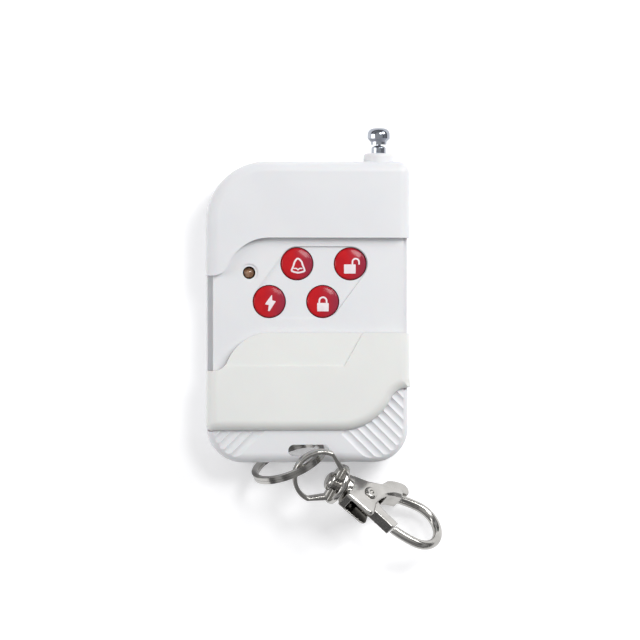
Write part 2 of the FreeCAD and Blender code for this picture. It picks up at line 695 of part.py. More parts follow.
# Relief for the antenna under the deck, its hole in the end wall and its collar
ANTENNA_RELIEF = "(tube_width / 2 + 0.25)"
drawn = new_sketch(front, "XZ_Plane", z="tube_length - tube_end_y + 4")
circle(drawn, ANTENNA_X, "antenna_z", ANTENNA_RELIEF)
pocket(drawn, "hood_edge_y + tube_length - tube_end_y + 8")
drawn = new_sketch(front, x=ANTENNA_X, z="antenna_z")
outline(drawn, [("tube_width / 2 + 0.1", f"{BODY_HALF} - wall"),
                ("collar_width / 2", f"{BODY_HALF} - wall"),
                ("collar_width / 2", "collar_end_y - 0.8", "0.8", 1),
                ("collar_width / 2 - 0.8", "collar_end_y"),
                ("tube_width / 2 + 0.1", "collar_end_y")])
revolve(drawn)
drawn = new_sketch(front, "XZ_Plane", z="-hood_edge_y - 10")
circle(drawn, ANTENNA_X, "antenna_z", "tube_width / 2 + 0.1")
pocket(drawn, "14")

# The rear shell closes the lower side of the collar
drawn = new_sketch(front, z="parting_height")
rectangle(drawn, f"{ANTENNA_X} - collar_width / 2 - 0.1", "body_length / 2 - 3",
          f"{ANTENNA_X} + collar_width / 2 + 0.1", "body_length / 2")
pocket(drawn, "3")

# Screw bosses that hang from the hood, and pilot holes
drawn = new_sketch(front, z="parting_height")
for x, y in SCREWS[2:]:
    circle(drawn, x, y, "screw_head / 2 + 0.9")
pad(drawn, f"{HOOD_CEILING} - parting_height + 0.2")
drawn = new_sketch(front, z="parting_height")
for x, y in SCREWS:
    circle(drawn, x, y, "screw_width / 2 + 0.02")
pocket(drawn, f"{SCREW_TIP} - parting_height", up=True)

# Slide cover: a plate with side skirts and inward lips

cover = new_body("slide_cover")
LIP_LOW = "(ledge_height + skirt_clear)"
drawn = new_sketch(cover, z=LIP_LOW)
outline(drawn, cover_plan())
pad(drawn, f"hood_height - {LIP_LOW}")
fillet(cover, "hood_edge_round", lambda edge: at_height(edge, val("hood_height"))
       and edge.BoundBox.XLength < 0.01)
drawn = new_sketch(cover, "XZ_Plane", z=f"-{COVER_TOP} - 1")
inner_x = f"({DECK_HALF} + skirt_clear)"
lip_x = f"({DECK_HALF} + skirt_clear - lip_reach)"
lip_top = f"({LIP_LOW} + lip_height)"
under = "(deck_height + cover_lift)"
outline(drawn, [(f"-{lip_x}", f"{LIP_LOW} - 1"), (lip_x, f"{LIP_LOW} - 1"), (lip_x, lip_top),
                (inner_x, lip_top), (inner_x, under), (f"-{inner_x}", under),
                (f"-{inner_x}", lip_top), (f"-{lip_x}", lip_top)])
pocket(drawn, "body_length", up=True)
drawn = new_sketch(cover, z="hood_height")
thumb = f"{COVER_TOP} - thumb_foot_y"
outline(drawn, [("-22.5", thumb), ("8.7", thumb), ("13.8", f"{COVER_TOP} + 1"),
                ("-22.5", f"{COVER_TOP} + 1")])
pocket(drawn, "thumb_depth")

# Buttons with their switches

SWITCH_TOP = "(board_height + switch_height)"
for name, x, y in BUTTONS:
    flange_top = f"({DECK_CEILING} - 0.3)"
    stem_foot = f"({SWITCH_TOP} + plunger_rise + 0.05)"
    edge = "button_width / 2"
    dome = "((button_width / 2 - 0.5)^2 + 0.35^2) / (2 * 0.35)"
    turned("button_" + name, [
        ("0", stem_foot), ("1.5", stem_foot), ("1.5", f"{flange_top} - 0.8"),
        (f"{edge} + 0.7", f"{flange_top} - 0.8"), (f"{edge} + 0.7", flange_top), (edge, flange_top),
        (edge, "button_top - 0.85", "0.5", 1), (f"{edge} - 0.5", "button_top - 0.35", dome, 1),
        ("0", "button_top")], x=x, y=y, rotation=TURNED_UP)
    half = "switch_width / 2"
    case = block(f"case_{name}", f"{x} - {half}", f"{y} - {half}", "board_height",
                 "switch_width", "switch_width", "switch_height")
    well = rod(f"well_{name}", x, y, f"{SWITCH_TOP} - 1.6", "plunger_width / 2 + 0.08", "1.7")
    cased = minus(f"cased_{name}", case, well)
    legs = [block(f"leg_{name}_{i}", f"{x} + ({leg_x})", f"{y} + ({leg_y})",
                  "board_height - board_thick - 0.8", "0.6", "0.3", "board_thick + 1.8")
            for i, (leg_x, leg_y) in enumerate([("-2.55", f"-{half} - 0.3"), ("1.95", f"-{half} - 0.3"),
                                                ("-2.55", half), ("1.95", half)])]
    keep(joined("switch_" + name, [cased] + legs), "switch_" + name)
    plunger = rod("plunger_" + name, x, y, f"{SWITCH_TOP} - 0.9", "plunger_width / 2", "plunger_rise + 0.9")
    keep(plunger, "plunger_" + name)

# Circuit board and what it carries

board = new_body("circuit_board", z="board_height - board_thick")
drawn = new_sketch(board)
outline(drawn, [(f"-{BOARD_HALF}", "-board_low"), (BOARD_HALF, "-board_low"), (BOARD_HALF, "board_high"),
                (f"-{BOARD_HALF} + board_corner", "board_high", "board_corner", 1),
                (f"-{BOARD_HALF}", "board_high - board_corner")])
pad(drawn, "board_thick")
drawn = new_sketch(board)
LED_PITCH = "1.27"
for x in (f"-led_x - {LED_PITCH}", f"-led_x + {LED_PITCH}"):
    circle(drawn, x, "led_y", "0.4")
for name, x, y in BUTTONS:
    for leg_x in ("-2.25", "2.25"):
        for leg_y in ("-3.15", "3.15"):
            circle(drawn, f"{x} + ({leg_x})", f"{y} + ({leg_y})", "0.5")
pocket(drawn, "board_thick", up=True)


def chip(label, x, y, size_x, size_y, height, pins, pitch):
    """A chip with its case above the board and a row of bent pins on each long side."""
    pieces = [block(label + "_case", f"{x} - {size_x} / 2", f"{y} - {size_y} / 2", "board_height + 0.1",
                    size_x, size_y, height)]
    for side in (-1, 1):
        for i in range(pins):
            pin_x = f"{x} + {(i - (pins - 1) / 2) * pitch} - 0.2"
            low = f"{y} + {side} * ({size_y} / 2 + 0.5) - 0.5"
            pieces.append(block(f"{label}_foot_{side + 1}_{i}", pin_x, low, "board_height",
                                "0.4", "1.0", "0.25"))
            shank = f"{y} + {side} * ({size_y} / 2 + 0.15) - 0.15"
            pieces.append(block(f"{label}_pin_{side + 1}_{i}", pin_x, shank, "board_height",
                                "0.4", "0.3", "0.8"))
    return keep(joined(label, pieces), label)


CHIP_ROW = "(board_high - chip_row)"
chip("encoder_chip", "(0 - 6)", CHIP_ROW, "chip_length", "chip_width", "1.6", 8, 1.27)
chip("transistor", "2.4", CHIP_ROW, "2.9", "1.3", "1.1", 2, 1.9)

can = turned("saw_resonator", [
    ("0", "0"), ("4.6", "0"), ("4.6", "0.5"), ("4.1", "0.5"), ("4.1", "2.6", "0.4", 1),
    ("3.7", "3.0"), ("0", "3.0")], x="9.8", y=CHIP_ROW, z="board_height", rotation=TURNED_UP)


def small_chips(label, places, height):
    pieces = [block(f"{label}_{i}", f"{x} - small_length / 2", f"{y} - small_width / 2", "board_height",
                    "small_length", "small_width", height) for i, (x, y) in enumerate(places)]
    return keep(group(label, pieces), label)


LEFT_COLUMN = f"(0 - {BOARD_HALF} + 3.1)"
TOP_ROW = "(board_high - 1.6)"
LOW_ROW = "(2.6 - board_low)"
small_chips("resistors", [(LEFT_COLUMN, "(top_row_y + 2.7)"), (LEFT_COLUMN, "(top_row_y + 4.8)"),
                          ("(0 - 12.5)", TOP_ROW), ("(0 - 8.5)", TOP_ROW), ("(0 - 4.5)", TOP_ROW),
                          ("(0 - 0.5)", TOP_ROW), (LEFT_COLUMN, "(low_row_y + 1)"),
                          (LEFT_COLUMN, "(low_row_y - 1.1)")], "0.55")
small_chips("capacitors", [("(0 - 13.2)", f"({CHIP_ROW} - 1.5)"),
                           (f"({BOARD_HALF} - 4)", "(top_row_y + 5.2)"),
                           ("(0 - 4)", LOW_ROW), ("(0 - 1)", LOW_ROW)], "0.9")

# Lamp: a round lens on a flange, with two legs through the board

LAMP_FOOT = "(board_height + 1.0)"
LAMP_TOP = f"({DECK_CEILING} + 0.6)"
lens_r = "(led_width / 2)"
turned("led_lens", [("0", LAMP_FOOT), (f"{lens_r} + 0.4", LAMP_FOOT),
                    (f"{lens_r} + 0.4", f"{LAMP_FOOT} + 0.9"),
                    (lens_r, f"{LAMP_FOOT} + 0.9"), (lens_r, f"{LAMP_TOP} - {lens_r}", lens_r, 1),
                    ("0", LAMP_TOP)], x="-led_x", y="led_y", rotation=TURNED_UP)
legs = [rod(f"lamp_leg_{i}", f"-led_x + {side} * {LED_PITCH}", "led_y", "board_height - board_thick - 0.8",
            "0.25", f"{LAMP_FOOT} - board_height + board_thick + 0.8") for i, side in enumerate((-1, 1))]
keep(group("led_leads", legs), "led_leads")

# Wound wires, worked out by a loop


def tangent_arc(start, heading, end):
    """The arc that leaves start along heading and ends at end."""
    chord = end.sub(start)
    half_turn = heading.getAngle(chord)
    if half_turn < 1e-6:
        return Part.LineSegment(start, end).toShape()
    side = heading.sub(chord * (heading.dot(chord) / chord.dot(chord))).normalize()
    middle = start.add(chord * 0.5).add(side * (chord.Length / 2 * math.tan(half_turn / 2)))
    return Part.Arc(start, middle, end).toShape()


def biarc(start, heading, end, ending):
    """Two arcs that join two points along two headings."""
    span = end.sub(start)
    both = heading.add(ending)
    a = 2 * (1 - heading.dot(ending))
    b = 2 * span.dot(both)
    c = -span.dot(span)
    reach = -c / b if abs(a) < 1e-9 else (-b + math.sqrt(b * b - 4 * a * c)) / (2 * a)
    middle = start.add(heading * reach).add(end.sub(ending * reach)) * 0.5
    back = tangent_arc(end, ending * -1, middle)
    return [tangent_arc(start, heading, middle), back]


def coil(pitch, turns, radius, end_radius=None):
    """Edges of a coil about Z in quarter turns, from z 0 up."""
    end_radius = radius if end_radius is None else end_radius
    steps = int(round(turns * 4))

    def spot(step):
        angle = step * math.pi / 2
        reach = radius + (end_radius - radius) * step / steps
        return Vector(reach * math.cos(angle), reach * math.sin(angle), pitch * step / 4)

    def heading(step):
        angle = step * math.pi / 2
        reach = radius + (end_radius - radius) * step / steps
        growth = (end_radius - radius) / steps / (math.pi / 2)
        return Vector(growth * math.cos(angle) - reach * math.sin(angle),
                      growth * math.sin(angle) + reach * math.cos(angle), pitch / (2 * math.pi)).normalize()

    edges = []
    for step in range(steps):
        edges += biarc(spot(step), heading(step), spot(step + 1), heading(step + 1))
    return edges, spot(0), heading(0), spot(steps), heading(steps)


def wound(label, edges, start, heading, wire):
    """A round wire along the edges."""
    path = Part.Wire(Part.__sortEdges__(edges))
    section = Part.Wire(Part.Circle(start, heading, wire / 2).toShape())
    solid = path.makePipeShell([section], True, False)
    thing = doc.addObject("Part::Feature", label)
    thing.Shape = solid
    return keep(thing, label)


coil_wire = 0.6
coil_pitch = 1.15
edges, start, heading, end, ending = coil(coil_pitch, 4, 1.9)
tails = [Part.LineSegment(start.sub(heading * 2), start).toShape(),
         Part.LineSegment(end, end.add(ending * 2)).toShape()]
inductor = wound("antenna_coil", [tails[0]] + edges + [tails[1]], start.sub(heading * 2), heading, coil_wire)
inductor.Placement = Placement(Vector(-14.0, -5.5, val("board_height") + 2.3), ALONG_X)
print("antenna_coil: least gap", coil_pitch - coil_wire)

# The cell, its spring and its plate

CELL_Z = "(floor_wall + battery_clear + battery_width / 2)"
cell_r = "battery_width / 2"
turned("battery", [
    ("0", "-battery_length / 2"), (f"{cell_r} - 0.6", "-battery_length / 2", "0.6", 1),
    (cell_r, "-battery_length / 2 + 0.6"), (cell_r, "battery_length / 2 - 1.6", "0.5", 1),
    (f"{cell_r} - 0.5", "battery_length / 2 - 1.1"), ("1.9", "battery_length / 2 - 1.1"),
    ("1.9", "battery_length / 2"), ("0", "battery_length / 2")],
    y="-battery_y", z=CELL_Z, rotation=Rotation(Vector(0, 0, 1), -90))

spring_wire = 0.5
spring_pitch = (val("spring_room") - 0.3 - spring_wire) / 2
edges, start, heading, end, ending = coil(spring_pitch, 2, 2.8, 1.5)
tail = Part.LineSegment(start.sub(heading * 1.5), start).toShape()
cell_spring = wound("battery_spring", [tail] + edges, start.sub(heading * 1.5), heading, spring_wire)
spring_seat = -val(SPRING_WALL) + spring_wire / 2 + 0.15
cell_spring.Placement = Placement(Vector(spring_seat, -val("battery_y"), val(CELL_Z)), ALONG_X)
print("battery_spring: least gap", round(spring_pitch - spring_wire, 3))

plate_x = f"({PLATE_WALL} - 0.45)"
keep(joined("battery_plate", [
    block("plate_sheet", plate_x, "-battery_y - 3.2", "floor_wall + 0.4", "0.4", "6.4", "6.6"),
    rod("plate_pimple", "battery_length / 2 + 0.05", "-battery_y", CELL_Z, "1.5",
        f"{plate_x} - battery_length / 2", ALONG_X)]), "battery_plate")

# Telescopic antenna: four sections, each drawn out of the one before

TUBE_LOW = "(tube_end_y - tube_length)"
BORE = "(tube_width / 2 - tube_wall)"


def tube(label, outer, inner, low, high, lip):
    """A tube with a rolled-in mouth that keeps the next section in."""
    return turned(label, [(inner, low), (outer, low), (outer, f"{high} - 0.3", "0.3", 1),
                          (f"{outer} - 0.3", high), (lip, high), (lip, f"{high} - 0.6"),
                          (inner, f"{high} - 0.6")], x=ANTENNA_X, z="antenna_z")


outer_2 = f"({BORE} - 2 * tube_fit)"
bore_2 = f"({outer_2} - tube_wall)"
outer_3 = f"({bore_2} - 2 * tube_fit)"
bore_3 = f"({outer_3} - tube_wall)"
rod_r = f"({bore_3} - 2 * tube_fit)"
tube("antenna_outer_tube", "(tube_width / 2)", BORE, TUBE_LOW, "tube_end_y", f"({outer_2} + tube_fit)")
tube("antenna_tube_2", outer_2, bore_2, f"({TUBE_LOW} + 0.6)", "(tube_end_y + 0.15)",
     f"({outer_3} + tube_fit)")
tube("antenna_tube_3", outer_3, bore_3, f"({TUBE_LOW} + 1.0)", "(tube_end_y + 0.3)", f"({rod_r} + tube_fit)")
knob_r = "(knob_width / 2)"
knob_low = "(tube_end_y + 0.5)"
neck = f"({knob_r} - 0.8)"
crown = f"({knob_low} + knob_length)"
turned("antenna_tip_rod", [
    ("0", f"{TUBE_LOW} + 1.6"), (rod_r, f"{TUBE_LOW} + 1.6"), (rod_r, knob_low), (neck, knob_low),
    (neck, f"{knob_low} + 0.7"), (knob_r, f"{knob_low} + 1.5"), (knob_r, f"{crown} - 1.6", "1.6", 1),
    (f"{knob_r} - 1.6", crown), ("0", crown)], x=ANTENNA_X, z="antenna_z")

clamp = joined("clamp_body", [
    rod("clamp_ring", ANTENNA_X, f"{TUBE_LOW} + 1", "antenna_z", "tube_width / 2 + 0.7", "4", ALONG_Y),
    block("clamp_foot", f"{ANTENNA_X} - 0.9", f"{TUBE_LOW} + 1", "board_height", "1.8", "4",
          "antenna_z - board_height"),
    block("clamp_lug", f"{ANTENNA_X} - 4.4", f"{TUBE_LOW} + 1", "board_height", "5.3", "4", "0.6")])
clamp = minus("clamp_cradle", clamp, block("clamp_open", f"{ANTENNA_X} - 4", f"{TUBE_LOW} + 0.5",
                                           "antenna_z + 0.7", "8", "5", "4"))
clamp = minus("clamp_bored", clamp, rod("clamp_bore", ANTENNA_X, f"{TUBE_LOW} + 0.9", "antenna_z",
                                        "tube_width / 2 + 0.04", "4.2", ALONG_Y))
keep(minus("antenna_bracket", clamp, rod("lug_hole", f"{ANTENNA_X} - 3", f"{TUBE_LOW} + 3",
                                         "board_height - 0.1", "0.75", "0.8")), "antenna_bracket")


def screw(label, x, y, head_low, head_r, shank_r, tip, head_height, upward):
    """A screw along Z: its head at head_low, its shank to tip; upward turns the drive down."""
    head = rod(label + "_head", x, y, head_low, head_r, head_height)
    low, high = (head_low, tip) if upward else (tip, f"{head_low} + {head_height}")
    shank = rod(label + "_shank", x, y, low, shank_r, f"{high} - {low}")
    drive_z = f"{head_low} - 0.1" if upward else f"{head_low} + {head_height} - 0.5"
    cross = joined(label + "_cross", [
        block(label + "_slot_a", f"{x} - {head_r} * 0.55", f"{y} - 0.25", drive_z,
              f"{head_r} * 1.1", "0.5", "0.6"),
        block(label + "_slot_b", f"{x} - 0.25", f"{y} - {head_r} * 0.55", drive_z,
              "0.5", f"{head_r} * 1.1", "0.6")])
    return minus(label, joined(label + "_blank", [head, shank]), cross)


case_screws = [screw(f"case_screw_{i}", f"({x})", f"({y})", "0.4", "(screw_head / 2)", "(screw_width / 2)",
                     f"({SCREW_TIP} - 0.4)", "1.75", True) for i, (x, y) in enumerate(SCREWS)]
keep(group("case_screws", case_screws), "case_screws")
keep(screw("antenna_screw", f"({ANTENNA_X} - 3)", f"({TUBE_LOW} + 3)", "(board_height + 0.65)", "1.3", "0.7",
           "(board_height + 0.05)", "0.9", False), "antenna_screw")

# Split ring: flat wire in two turns, with a jog from one turn to the other

ring_place = Placement(
    Vector(-val("ring_x"), -val("ring_y"), val("ring_width / 2 * cos(ring_lean * 1 deg) + 0.33")),
    Rotation(val("ring_turned"), 0, 90 + val("ring_lean")))


def split_ring():
    middle = val("(ring_width - ring_wire) / 2")
    step = val("ring_turn + ring_gap")
    jog = math.radians(30)
    full = 2 * math.pi

    def spot(angle, height):
        return Vector(middle * math.cos(angle), middle * math.sin(angle), height)

    def heading(angle):
        return Vector(-math.sin(angle), math.cos(angle), 0)

    edges = []
    for height, begin in ((-step / 2, 0.0), (step / 2, full)):
        span = (full - jog) / 4
        for i in range(4):
            low = begin + i * span
            arc = Part.Arc(spot(low, height), spot(low + span / 2, height), spot(low + span, height))
            edges.append(arc.toShape())
        if height < 0:
            edges += biarc(spot(full - jog, height), heading(-jog), spot(full, -height), heading(0))
    path = Part.Wire(Part.__sortEdges__(edges))
    half_wire = val("ring_wire") / 2
    half_turn = val("ring_turn") / 2
    corners = [(-half_wire, -half_turn), (half_wire, -half_turn), (half_wire, half_turn),
               (-half_wire, half_turn)]
    start = spot(0, -step / 2)
    points = [start.add(Vector(x, 0, z)) for x, z in corners]
    square = Part.Wire(Part.makePolygon(points + points[:1]).Edges)
    sweep = Part.BRepOffsetAPI.MakePipeShell(path)
    sweep.setBiNormalMode(Vector(0, 0, 1))
    sweep.add(square)
    sweep.build()
    sweep.makeSolid()
    return sweep.shape()


ring = doc.addObject("Part::Feature", "split_ring")
ring.Shape = split_ring()
ring.Placement = ring_place
keep(ring, "split_ring")

# Swivel eye and lobster clasp. Their own X runs from the eye to the hook, their Y points to the spine.

chain_spot = Vector(val("chain_x"), -val("chain_y"), val("chain_z"))
eye_place = Placement(chain_spot, Rotation(-val("chain_yaw"), val("chain_slope"), val("eye_lean")))
clasp_place = Placement(chain_spot, Rotation(-val("chain_yaw"), val("chain_slope"), -val("chain_lean")))

eye = new_body("swivel_eye")
drawn = new_sketch(eye)
for width, foot, throat in (("(eye_width / 2)", "(flange_thick / 2)", "(flange_width / 2 - 0.6)"),
                            ("(eye_width / 2 - strap_thick)", "(flange_thick / 2 + strap_thick)",
                             "(flange_width / 2 - 1.6)")):
    outline(drawn, [(f"-{foot}", throat), ("-eye_reach", width, width, 1),
                    (f"-eye_reach - {width}", "0", width, 1),
                    ("-eye_reach", f"-{width}"), (f"-{foot}", f"-{throat}")])
pad(drawn, "strap_wide", both=True)
fillet(eye, "strap_thick * 0.3", lambda edge: at_height(edge, val("strap_wide / 2"))
       or at_height(edge, val("0 - strap_wide / 2")))
drawn = new_sketch(eye, "YZ_Plane", z="-flange_thick / 2")
circle(drawn, "0", "0", "flange_width / 2")
pad(drawn, "flange_thick")
fillet(eye, "0.3", lambda edge: edge.BoundBox.XLength < 0.01
       and edge.BoundBox.YLength > val("flange_width") - 0.1)
drawn = new_sketch(eye, "YZ_Plane", z="-5")
circle(drawn, "0", "0", "stem_width / 2 + stem_fit")
pocket(drawn, "6", up=True)
eye.Placement = eye_place

clasp = new_body("clasp_body")
drawn = new_sketch(clasp)
CHEEK_LOW = "(0 - pivot_y - cheek_depth)"
HOOK_X = "hook_centre_x"
HOOK_TOP = "(hook_bend - hook_offset)"
HOOK_LOW = "(0 - hook_bend - hook_offset)"
ROOT_X = "(hook_centre_x - hook_reach + 1.5)"
ROOT_Y = f"({HOOK_TOP} - 0.5)"
outline(drawn, [
    ("body_start", f"{CHEEK_LOW} + 2.8"), ("pivot_x - 0.1", CHEEK_LOW, "1.4", 1),
    ("pivot_x + 1.6", f"{CHEEK_LOW} + 1.1"), ("pivot_x + 2.1", f"{CHEEK_LOW} + 4.3", "9", -1),
    (f"{ROOT_X} - 2.1", f"{ROOT_Y} - 1.6"), (ROOT_X, f"{ROOT_Y} - 1.1"), (ROOT_X, f"{ROOT_Y} + 1.2"),
    (f"{ROOT_X} - 5.0", f"{ROOT_Y} + 0.7"), ("pivot_x - 0.8", "spine_back + 0.5"),
    ("body_start", "spine_back")])
pad(drawn, "cheek_span", both=True)
chamfer(clasp, "body_bevel", lambda edge: at_height(edge, val("cheek_span / 2"))
        or at_height(edge, val("0 - cheek_span / 2")))

# The hook: a round bar along four arcs
tip_arc = "22"
root_arc = "30"
TIP_Y = f"({HOOK_LOW} + {tip_arc} - sqrt({tip_arc}^2 - hook_reach^2))"
spine = new_sketch(clasp)
outline(spine, [
    (f"{HOOK_X} - hook_reach", TIP_Y, tip_arc, 1),
    (HOOK_X, HOOK_LOW, "hook_bend", 1), (f"{HOOK_X} + hook_bend", "-hook_offset", "hook_bend", 1),
    (HOOK_X, HOOK_TOP, root_arc, 1),
    (f"{HOOK_X} - hook_reach", f"{HOOK_TOP} - {root_arc} + sqrt({root_arc}^2 - hook_reach^2)")], closed=False)
section = new_sketch(clasp, "YZ_Plane", z=f"{HOOK_X} - hook_reach")
circle(section, TIP_Y, "0", "hook_wire / 2")
pipe = clasp.newObject("PartDesign::AdditivePipe", "hook_bar")
pipe.Profile = section
pipe.Spine = (spine, [])

# Barrel, neck and the riveted stem that turns in the eye
drawn = new_sketch(clasp, turn=Rotation(Vector(0, 0, 1), -90))
stem_r = "(stem_width / 2)"
eye_back = "(0 - flange_thick / 2 - strap_thick)"
barrel_low = "(flange_thick / 2 + 0.1)"
outline(drawn, [
    ("0", f"{eye_back} - 1.3"), ("1.2", f"{eye_back} - 1.3", "1.2", 1), ("2.4", f"{eye_back} - 0.1"),
    (stem_r, f"{eye_back} - 0.1"), (stem_r, barrel_low), ("2.4", barrel_low),
    ("2.4", f"{barrel_low} + 0.5"), ("2.9", f"{barrel_low} + 0.5", "0.6", 1), ("3.5", f"{barrel_low} + 1.1"),
    ("3.5", "body_start + 1.3"), ("0", "body_start + 1.3")])
revolve(drawn)

# Hollow between the cheeks, open to the gate side; the tab's slot in the spine; the tip's face
HOLLOW_X = "(body_start + 1.7)"
drawn = new_sketch(clasp)
outline(drawn, [(HOLLOW_X, f"{CHEEK_LOW} - 2"), ("pivot_x + 5.0", f"{CHEEK_LOW} - 2"),
                ("pivot_x + 5.0", "spine_back + 0.4"), ("pivot_x - 0.6", "spine_back - 1.3"),
                (HOLLOW_X, "spine_back - 1.4")])
pocket(drawn, "cheek_gap", both=True)
drawn = new_sketch(clasp)
outline(drawn, [("pivot_x - 0.9", "0"), ("pivot_x + 3.2", "0"), ("pivot_x + 7.8", "spine_back + 2.1"),
                ("pivot_x + 7.8", "spine_back + 6"), ("pivot_x - 0.9", "spine_back + 6")])
pocket(drawn, "1.9", both=True)
drawn = new_sketch(clasp, x="pivot_x", y="-pivot_y")
tip_r = "(gate_reach + gate_gap)"
outline(drawn, [(f"{tip_r} * cos(58)", f"-{tip_r} * sin(58)", tip_r, 1),
                (f"{tip_r} * cos(18)", f"-{tip_r} * sin(18)"),
                (f"({tip_r} - 2.4) * cos(22)", f"-({tip_r} - 2.4) * sin(22)"),
                (f"({tip_r} - 2.4) * cos(58)", f"-({tip_r} - 2.4) * sin(58)")])
pocket(drawn, "hook_wire + 0.2", both=True)
drawn = new_sketch(clasp, z="-cheek_span / 2")
circle(drawn, "pivot_x", "-pivot_y", "rivet_width / 2 + 0.02")
pocket(drawn, "cheek_span", up=True)
clasp.Placement = clasp_place

# Lever: the gate that closes the hook, with a thumb tab through the spine
lever = new_body("clasp_lever")
drawn = new_sketch(lever)
outline(drawn, [
    ("-2.3", "0"), ("-1.6", "-2.2"),
    ("gate_reach * cos(43)", "-gate_reach * sin(43)", "gate_reach", 1),
    ("gate_reach * cos(28.5)", "-gate_reach * sin(28.5)"), ("4.2", "-2.2"), ("2.3", "0"),
    ("1.9", "1.6"), ("-1.0", "2.1")])
pad(drawn, "cheek_gap - 2 * lever_fit", both=True)
drawn = new_sketch(lever)
outline(drawn, [("-1.0", "0.6"), ("1.7", "-0.8"), ("7.2", "6.1"), ("tab_reach - 1.2", "6.9", "1.9", 1),
                ("tab_reach - 2.4", "9.9", "8", 1), ("5.6", "8.6")])
pad(drawn, "1.5", both=True)
drawn = new_sketch(lever, z="-cheek_gap / 2")
circle(drawn, "0", "0", "rivet_width / 2 + rivet_fit")
pocket(drawn, "cheek_gap", up=True)
drawn = new_sketch(lever, z="0.25")
circle(drawn, "0", "0", "2.6")
pocket(drawn, "cheek_gap", up=True)
pivot_place = Placement(Vector(val("pivot_x"), -val("pivot_y"), 0), Rotation())
lever.Placement = clasp_place.multiply(pivot_place)

head_r = "(rivet_head / 2)"
rivet_r = "(rivet_width / 2)"
half_span = "(cheek_span / 2)"
rivet = turned("clasp_rivet", [
    ("0", f"-{half_span} - 0.6"), (f"{head_r} - 0.6", f"-{half_span} - 0.6", "0.6", 1),
    (head_r, f"-{half_span}"), (rivet_r, f"-{half_span}"), (rivet_r, half_span),
    (head_r, half_span, "0.6", 1), (f"{head_r} - 0.6", f"{half_span} + 0.6"), ("0", f"{half_span} + 0.6")])
rivet.Placement = clasp_place.multiply(pivot_place).multiply(Placement(Vector(0, 0, 0), TURNED_UP))

lever_spring_wire = 0.3
lever_spring_pitch = 0.72
edges, start, heading, end, ending = coil(lever_spring_pitch, 1.25, 1.4)
tails = [Part.LineSegment(start.sub(heading), start).toShape(),
         Part.LineSegment(end, end.add(ending * 0.8)).toShape()]
torsion = wound("clasp_spring", [tails[0]] + edges + [tails[1]], start.sub(heading), heading,
                lever_spring_wire)
spring_low = 0.25 + lever_spring_wire / 2 + 0.1
raised = Placement(Vector(0, 0, spring_low), Rotation())
torsion.Placement = clasp_place.multiply(pivot_place).multiply(raised)
print("clasp_spring: least gap", round(lever_spring_pitch - lever_spring_wire, 3))

# Check every object, then write each piece

doc.recompute()
for thing in doc.Objects:
    states = [state for state in thing.State if state in ("Invalid", "Error")]
    if states:
        raise ValueError("%s is %s" % (thing.Label, states))
for piece in parts:
    if piece.Shape.isNull() or not piece.Shape.isValid():
        raise ValueError(piece.Label + " has no valid shape")

os.makedirs("parts", exist_ok=True)
for piece in parts:
    piece.Shape.exportStep("parts/%s.step" % piece.Label)
    print("%-20s %2d solid(s) %9.1f mm3" % (piece.Label, len(piece.Shape.Solids), piece.Shape.Volume))
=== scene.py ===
# %% [markdown]
# A pocket remote for a garage door: a white moulded housing with a slide cover, four red buttons,
# a telescopic antenna, and a split ring that carries a nickel plated lobster clasp.
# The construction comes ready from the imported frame. This lesson gives each piece its finish, cuts the
# finest details, wears down the castings, prints the signs on the buttons and sets up the photograph.

import json
import math

import bmesh
import bpy
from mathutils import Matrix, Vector


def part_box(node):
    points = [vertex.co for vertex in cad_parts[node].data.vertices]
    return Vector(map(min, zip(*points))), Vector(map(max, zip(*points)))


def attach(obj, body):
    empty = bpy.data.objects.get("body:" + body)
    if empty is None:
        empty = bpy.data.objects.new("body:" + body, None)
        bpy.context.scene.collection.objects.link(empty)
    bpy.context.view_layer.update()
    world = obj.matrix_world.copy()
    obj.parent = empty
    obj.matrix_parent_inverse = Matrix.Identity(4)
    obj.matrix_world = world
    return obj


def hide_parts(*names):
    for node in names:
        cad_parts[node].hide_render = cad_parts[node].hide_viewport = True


MM = 0.001
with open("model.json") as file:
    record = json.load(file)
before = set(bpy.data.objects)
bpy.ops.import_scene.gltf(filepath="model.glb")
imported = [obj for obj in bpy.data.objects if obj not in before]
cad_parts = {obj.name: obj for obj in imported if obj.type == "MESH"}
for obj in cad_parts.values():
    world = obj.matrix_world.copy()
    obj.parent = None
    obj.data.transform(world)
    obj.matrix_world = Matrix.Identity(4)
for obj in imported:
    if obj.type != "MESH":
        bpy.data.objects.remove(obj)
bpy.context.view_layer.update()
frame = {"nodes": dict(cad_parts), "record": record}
nodes = frame["nodes"]
print("pieces in the frame:", len(nodes))

# %% [markdown]
# In Blender a mesh, a lens or a lamp is only data. It shows once an object holds it and that object is
# linked to a scene. Many later steps need these two lines, so they are written once.

# %% Putting data in the scene


def put_in_scene(name, data):
    """A new object that holds some data, linked to the scene."""
    made = bpy.data.objects.new(name, data)
    bpy.context.scene.collection.objects.link(made)
    return made


# %% [markdown]
# The remote lies on its back on a pale table. The photograph looks down on it through a long lens, from a
# little to the left, so that the left flank shows as a narrow darker strip.
# A long lens keeps the outline free of perspective, as a catalogue picture wants it.

# %% Camera
LENS = 200.0
SENSOR = 36.0
VIEW_WIDTH = 157.6 * MM
TARGET = Vector((2.98, -2.0, 10.0)) * MM
LEFT_YAW = math.radians(4.0)
NEAREST = 0.05
FARTHEST = 20.0

lens = bpy.data.cameras.new("product_camera")
lens.lens = LENS
lens.sensor_width = SENSOR
lens.clip_start = NEAREST
lens.clip_end = FARTHEST
camera = put_in_scene("product_camera", lens)
camera.rotation_euler = (0.0, -LEFT_YAW, 0.0)
reach = VIEW_WIDTH * LENS / SENSOR
camera.location = TARGET + Vector((-math.sin(LEFT_YAW), 0.0, math.cos(LEFT_YAW))) * reach
bpy.context.scene.camera = camera
print("camera stands %.2f m above the table" % camera.location.z)

